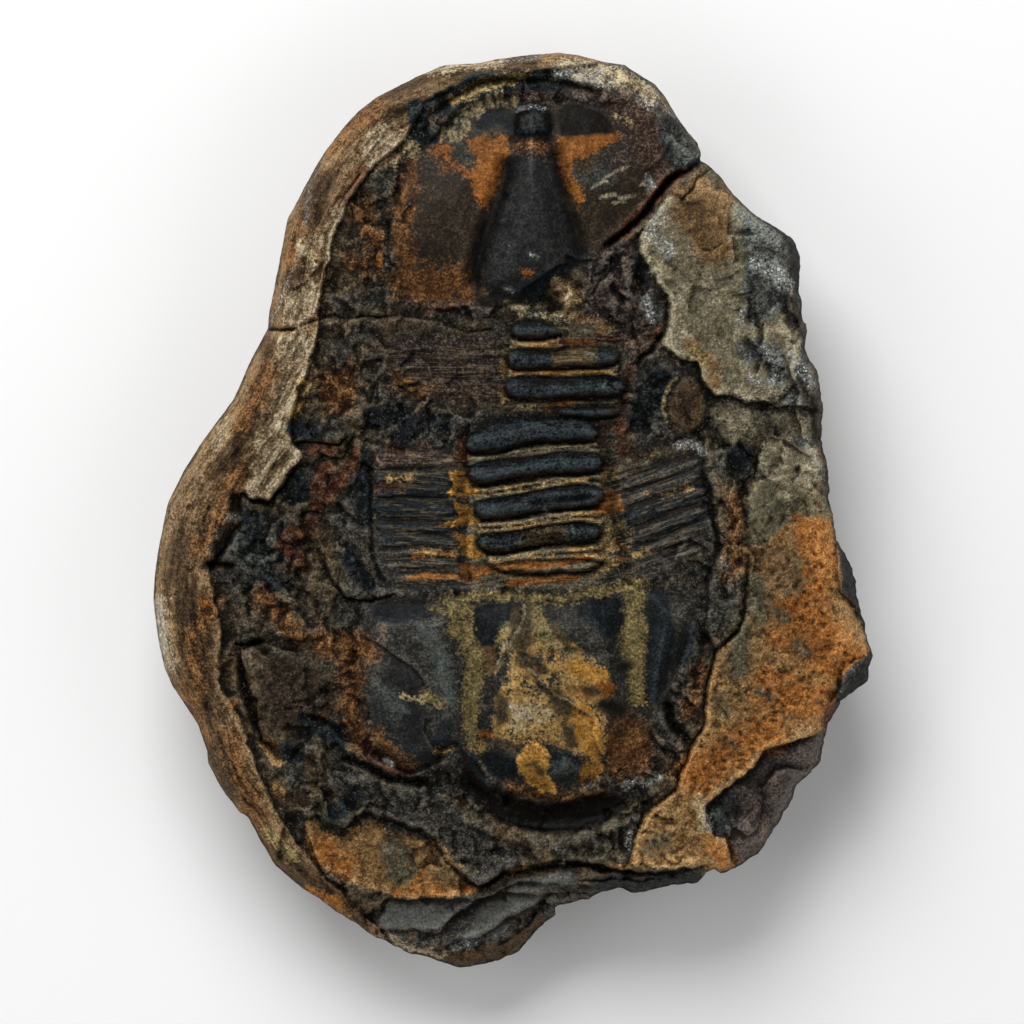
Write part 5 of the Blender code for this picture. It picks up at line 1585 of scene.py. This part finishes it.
class Shader:
    """Adds nodes to a material, with plain names for the steps that it needs."""

    def __init__(self, material):
        self.tree = material.node_tree
        coordinates = self.node("ShaderNodeTexCoord", {}).outputs["Object"]
        self.places = self.vector("MULTIPLY", coordinates, (1 / PIXEL,) * 3)

    def node(self, kind, inputs, **settings):
        """A node of one kind, where each input is set to a value or linked to another node's output."""
        node = self.tree.nodes.new(kind)
        for name, value in settings.items():
            setattr(node, name, value)
        for socket, value in inputs.items():
            if isinstance(value, bpy.types.NodeSocket):
                self.tree.links.new(value, node.inputs[socket])
            else:
                node.inputs[socket].default_value = value
        return node

    def vector(self, operation, *values):
        return self.node("ShaderNodeVectorMath", dict(enumerate(values)), operation=operation).outputs[0]

    def math(self, operation, *values):
        return self.node("ShaderNodeMath", dict(enumerate(values)), operation=operation).outputs[0]

    def total(self, values, shares, start=0.0):
        """A start and the named values on top of it, each times its share."""
        for name, share in shares.items():
            start = self.math("MULTIPLY_ADD", values[name], share, start)
        return start

    def field(self, name):
        """A number kept at the vertices."""
        return self.node("ShaderNodeAttribute", {}, attribute_name=name).outputs["Fac"]

    def span(self, value, low, high, to_low=0.0, to_high=1.0, curve="LINEAR"):
        """The value moved from one range to another and held within it."""
        inputs = {"Value": value, "From Min": low, "From Max": high, "To Min": to_low, "To Max": to_high}
        return self.node("ShaderNodeMapRange", inputs, interpolation_type=curve).outputs["Result"]

    def scaled(self, size, shift=0.0):
        """The place in units of a size in pixels, moved aside for another pattern."""
        return self.vector("MULTIPLY_ADD", self.places, (1 / size,) * 3, (shift,) * 3)

    def band(self, value, middle, reach, within, beyond):
        """One number where the value is at the middle, and another from a reach away from it on."""
        away = self.math("ABSOLUTE", self.math("SUBTRACT", value, middle))
        return self.span(away, 0.0, reach, within, beyond)

    def noise(self, places, detail, roughness):
        """A node of soft noise about one unit in size."""
        inputs = {"Vector": places, "Scale": 1.0, "Detail": detail, "Roughness": roughness}
        return self.node("ShaderNodeTexNoise", inputs)

    def clouds(self, size, detail, roughness, shift):
        """Soft noise of a size in pixels, spread out to run from 0 to 1."""
        return self.span(self.noise(self.scaled(size, shift), detail, roughness).outputs["Fac"], *NOISE_SPAN)

    def grains(self, size):
        """Cells of a size in pixels, each with a colour of its own."""
        return self.node("ShaderNodeTexVoronoi", {"Vector": self.scaled(size), "Scale": 1.0}).outputs["Color"]

    def lines(self):
        """Fine streaks that follow the lay of the stone, around 0 and only where it is lined."""
        across = self.math("MULTIPLY", self.field("lay"), 1 / STREAK_WIDTH)
        along = self.parts(self.scaled(STREAK_LENGTH))
        places = self.node("ShaderNodeCombineXYZ", {0: along[0], 1: along[1], 2: across}).outputs[0]
        streak = self.noise(places, STREAK_DETAIL, STREAK_ROUGHNESS).outputs["Fac"]
        return self.math("MULTIPLY", self.span(streak, *NOISE_SPAN, -0.5, 0.5), self.field("lined"))

    def parts(self, colour):
        """The three numbers of a colour."""
        return self.node("ShaderNodeSeparateXYZ", {0: colour}).outputs[:]

    def number_mix(self, share, below, above):
        """A number between two others."""
        return self.node("ShaderNodeMix", {0: share, 2: below, 3: above}, data_type="FLOAT").outputs[0]

    def mix(self, share, below, above, blend="MIX"):
        """One colour over another."""
        inputs = {0: share, 6: below, 7: above}
        return self.node("ShaderNodeMix", inputs, data_type="RGBA", blend_type=blend).outputs[2]

    def ramp(self, value, tones):
        """A colour from dark over middle to light."""
        node = self.node("ShaderNodeValToRGB", {0: value})
        stops = node.color_ramp.elements
        stops.new(0.5)
        for stop, place, tone in zip(stops, (0, 0.5, 1), tones):
            stop.position = place
            stop.color = linear(tone)
        return node.outputs[0]


def patterns(shader):
    """What the colours are made from: noise from broad patches to single grains, and fields of the mesh."""
    found = {name: shader.field(name) for name in ("hollow", "smooth", "warmth", "painted_glint_and_scratch", "threads")}
    found["rough"] = shader.span(found["smooth"], 0, 1, 1, SHELL_GRAIN)
    found["lines"] = shader.lines()
    found["broad"] = shader.clouds(*BROAD_NOISE)
    found["fine"] = shader.clouds(*FINE_NOISE)
    size, detail, roughness, shift = MIDDLE_NOISE
    parts = shader.parts(shader.noise(shader.scaled(size, shift), detail, roughness).outputs["Color"])
    for name, part in zip(("middle", "vein", "tint"), parts):
        found[name] = shader.span(part, *NOISE_SPAN)
    found.update(zip(("grain", "speckle", "fleck"), shader.parts(shader.grains(GRAIN_SIZE))))
    return found


def bare_stone(shader, found, tone):
    """The dark stone below all stains, bluish in some places and brownish in others."""
    warmth = shader.total(found, WARMTH_SHARES, WARMTH_START)
    return shader.mix(warmth, shader.ramp(tone, MATRIX_COOL), shader.ramp(tone, MATRIX_WARM))


def stained(shader, found, tone, colour):
    """The stains over the stone, with painted shadow and highlights among them, from the lowest layer to the
    top one, each with small gaps in it.
    """
    ragged = [shader.total(found, shares, RAGGED_START) for shares in RAGGED_SHARES]
    gaps = shader.total(found, GAP_SHARES)
    for index, mineral in enumerate(MINERALS):
        depth = shader.math("MULTIPLY_ADD", ragged[index % 2], mineral.ragged, shader.field(mineral.name))
        share = shader.span(depth, -mineral.blur, mineral.blur, curve="SMOOTHSTEP")
        least = FULL_COVER + OPEN_COVER * (1 - mineral.cover)
        share = shader.math("MULTIPLY", share, shader.span(gaps, least, least + GAP_EDGE))
        colour = shader.mix(share, colour, shader.ramp(tone, mineral.tones))
    return colour


def veined(shader, found, colour):
    """Thin veins of ochre along the lined parts, and patches that lean to blue or to brown."""
    thread = shader.math("MULTIPLY", shader.band(found["lines"], *THREAD_BAND), found["threads"])
    colour = shader.mix(thread, colour, linear(THREAD_TONE))
    return shader.mix(1.0, colour, shader.mix(found["tint"], LEAN_COOL, LEAN_WARM), "MULTIPLY")


def with_painted_shade_and_speckle(shader, found, colour):
    """Painted shade in cracks and painted highlights on crests, with speckles and hair cracks where the stone
    is rough.
    """
    shade = shader.span(found["hollow"], -1, 1, *PAINTED_SHADE_AND_HIGHLIGHT)
    speckle = shader.span(found["speckle"], 0, 1, *SPECKLE_SHADES)
    for detail in (speckle, shader.band(found["vein"], *CRACK_BAND)):
        shade = shader.math("MULTIPLY", shade, shader.number_mix(found["rough"], 1.0, detail))
    shade = shader.node("ShaderNodeCombineXYZ", {0: shade, 1: shade, 2: shade}).outputs[0]
    return shader.mix(1.0, colour, shade, "MULTIPLY")


def with_dust_and_painted_glints(shader, found, colour):
    """Dust on rough stone, and a painted sheen and painted glints on the glint marks, which also hold pale
    scratches.
    """
    dusty = shader.math("MULTIPLY", found["rough"], found["middle"])
    painted_glint_place = shader.math("MULTIPLY", found["painted_glint_and_scratch"], found["middle"])
    layers = (
        (dusty, shader.span(found["fleck"], *DUST_SPAN), DUST_TONE),
        (found["painted_glint_and_scratch"], shader.span(shader.total(found, PAINTED_SHEEN_SHARES), *PAINTED_SHEEN_SPAN), PAINTED_SHEEN_TONE),
        (painted_glint_place, shader.span(found["speckle"], *PAINTED_GLINT_SPAN), PAINTED_GLINT_TONE),
    )
    for place, share, tone in layers:
        colour = shader.mix(shader.math("MULTIPLY", place, share), colour, linear(tone))
    return colour


def rock_colour(shader, found):
    """The dark stone with the stains, crust and shell on it, and painted shade, highlights and glints."""
    tone = shader.total(found, TONE_SHARES, TONE_START)
    colour = stained(shader, found, tone, bare_stone(shader, found, tone))
    return with_dust_and_painted_glints(shader, found, with_painted_shade_and_speckle(shader, found, veined(shader, found, colour)))


def rock_material():
    """Stone, crust and shell in one material that reads the fields kept at the vertices."""
    material, surface = new_material("fossil_stone", SPECULAR)
    shader = Shader(material)
    found = patterns(shader)
    grain = shader.math("MULTIPLY", shader.clouds(*BUMP_NOISE), found["rough"])
    grain = shader.math("MULTIPLY_ADD", found["lines"], STREAK_HEIGHT, grain)
    height = shader.math("MULTIPLY", grain, GRAIN_HEIGHT)
    links = material.node_tree.links
    links.new(rock_colour(shader, found), surface.inputs["Base Color"])
    finish = shader.span(found["smooth"], 0, 1, STONE_ROUGHNESS, SHELL_ROUGHNESS)
    links.new(finish, surface.inputs["Roughness"])
    bump = shader.node("ShaderNodeBump", {"Height": height, "Distance": 1.0})
    links.new(bump.outputs["Normal"], surface.inputs["Normal"])
    return material


def new_material(name, specular):
    """A new material and its surface."""
    material = bpy.data.materials.new(name)
    material.use_nodes = True
    surface = material.node_tree.nodes["Principled BSDF"]
    surface.inputs["Specular IOR Level"].default_value = specular
    return material, surface


def paper():
    """Pale dull paper of the floor."""
    material, surface = new_material("floor_paper", PAPER_SPECULAR)
    surface.inputs["Base Color"].default_value = (FLOOR_BRIGHTNESS,) * 3 + (1,)
    surface.inputs["Roughness"].default_value = PAPER_ROUGHNESS
    return material


def add_object(name, data):
    """A new object in the scene."""
    thing = bpy.data.objects.new(name, data)
    bpy.context.scene.collection.objects.link(thing)
    return thing


def add_rock():
    mesh, places, gaps, down = build_rock()
    add_fields(mesh, places, gaps, down)
    mesh.materials.append(rock_material())
    rock = add_object("trilobite_fossil_looks", mesh)
    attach(rock, "root")
    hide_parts("trilobite_fossil")


def add_floor():
    mesh = bpy.data.meshes.new("floor")
    corners = [(x * FLOOR_REACH, y * FLOOR_REACH, FLOOR_GAP) for x, y in ((-1, -1), (1, -1), (1, 1), (-1, 1))]
    mesh.from_pydata(corners, [], [(0, 1, 2, 3)])
    mesh.materials.append(paper())
    add_object("floor", mesh)


def add_light(name, place, size, power):
    """A square soft light that faces the rock."""
    light = bpy.data.lights.new(name, "AREA")
    light.size = size
    light.energy = power
    lamp = add_object(name, light)
    lamp.location = place
    aim = Vector((0, 0, FACE_HEIGHT)) - Vector(place)
    lamp.rotation_euler = aim.to_track_quat("-Z", "Y").to_euler()


def add_studio():
    """Plain soft light, mostly from the head side."""
    for name, place, size, power in LIGHTS:
        add_light(name, place, size, power)
    world = bpy.data.worlds.new("studio")
    world.use_nodes = True
    world.node_tree.nodes["Background"].inputs["Strength"].default_value = WORLD_STRENGTH
    world.node_tree.nodes["Background"].inputs["Color"].default_value = (1, 1, 1, 1)
    bpy.context.scene.world = world
    bpy.context.scene.view_settings.view_transform = "Standard"


def add_camera():
    """Straight above the rock, with the head at the top of the picture."""
    camera = bpy.data.cameras.new("camera")
    camera.lens = camera.sensor_width * CAMERA_DISTANCE / (PICTURE_SIDE * PIXEL)
    camera.clip_end = 2 * CAMERA_DISTANCE
    seat = add_object("camera", camera)
    across, along = (PICTURE_MIDDLE - PLAN_MIDDLE) * PIXEL
    seat.location = (across, -along, FACE_HEIGHT + CAMERA_DISTANCE)
    bpy.context.scene.camera = seat


def main():
    noise.seed_set(WANDER_SEED)
    add_rock()
    add_floor()
    add_studio()
    add_camera()


main()
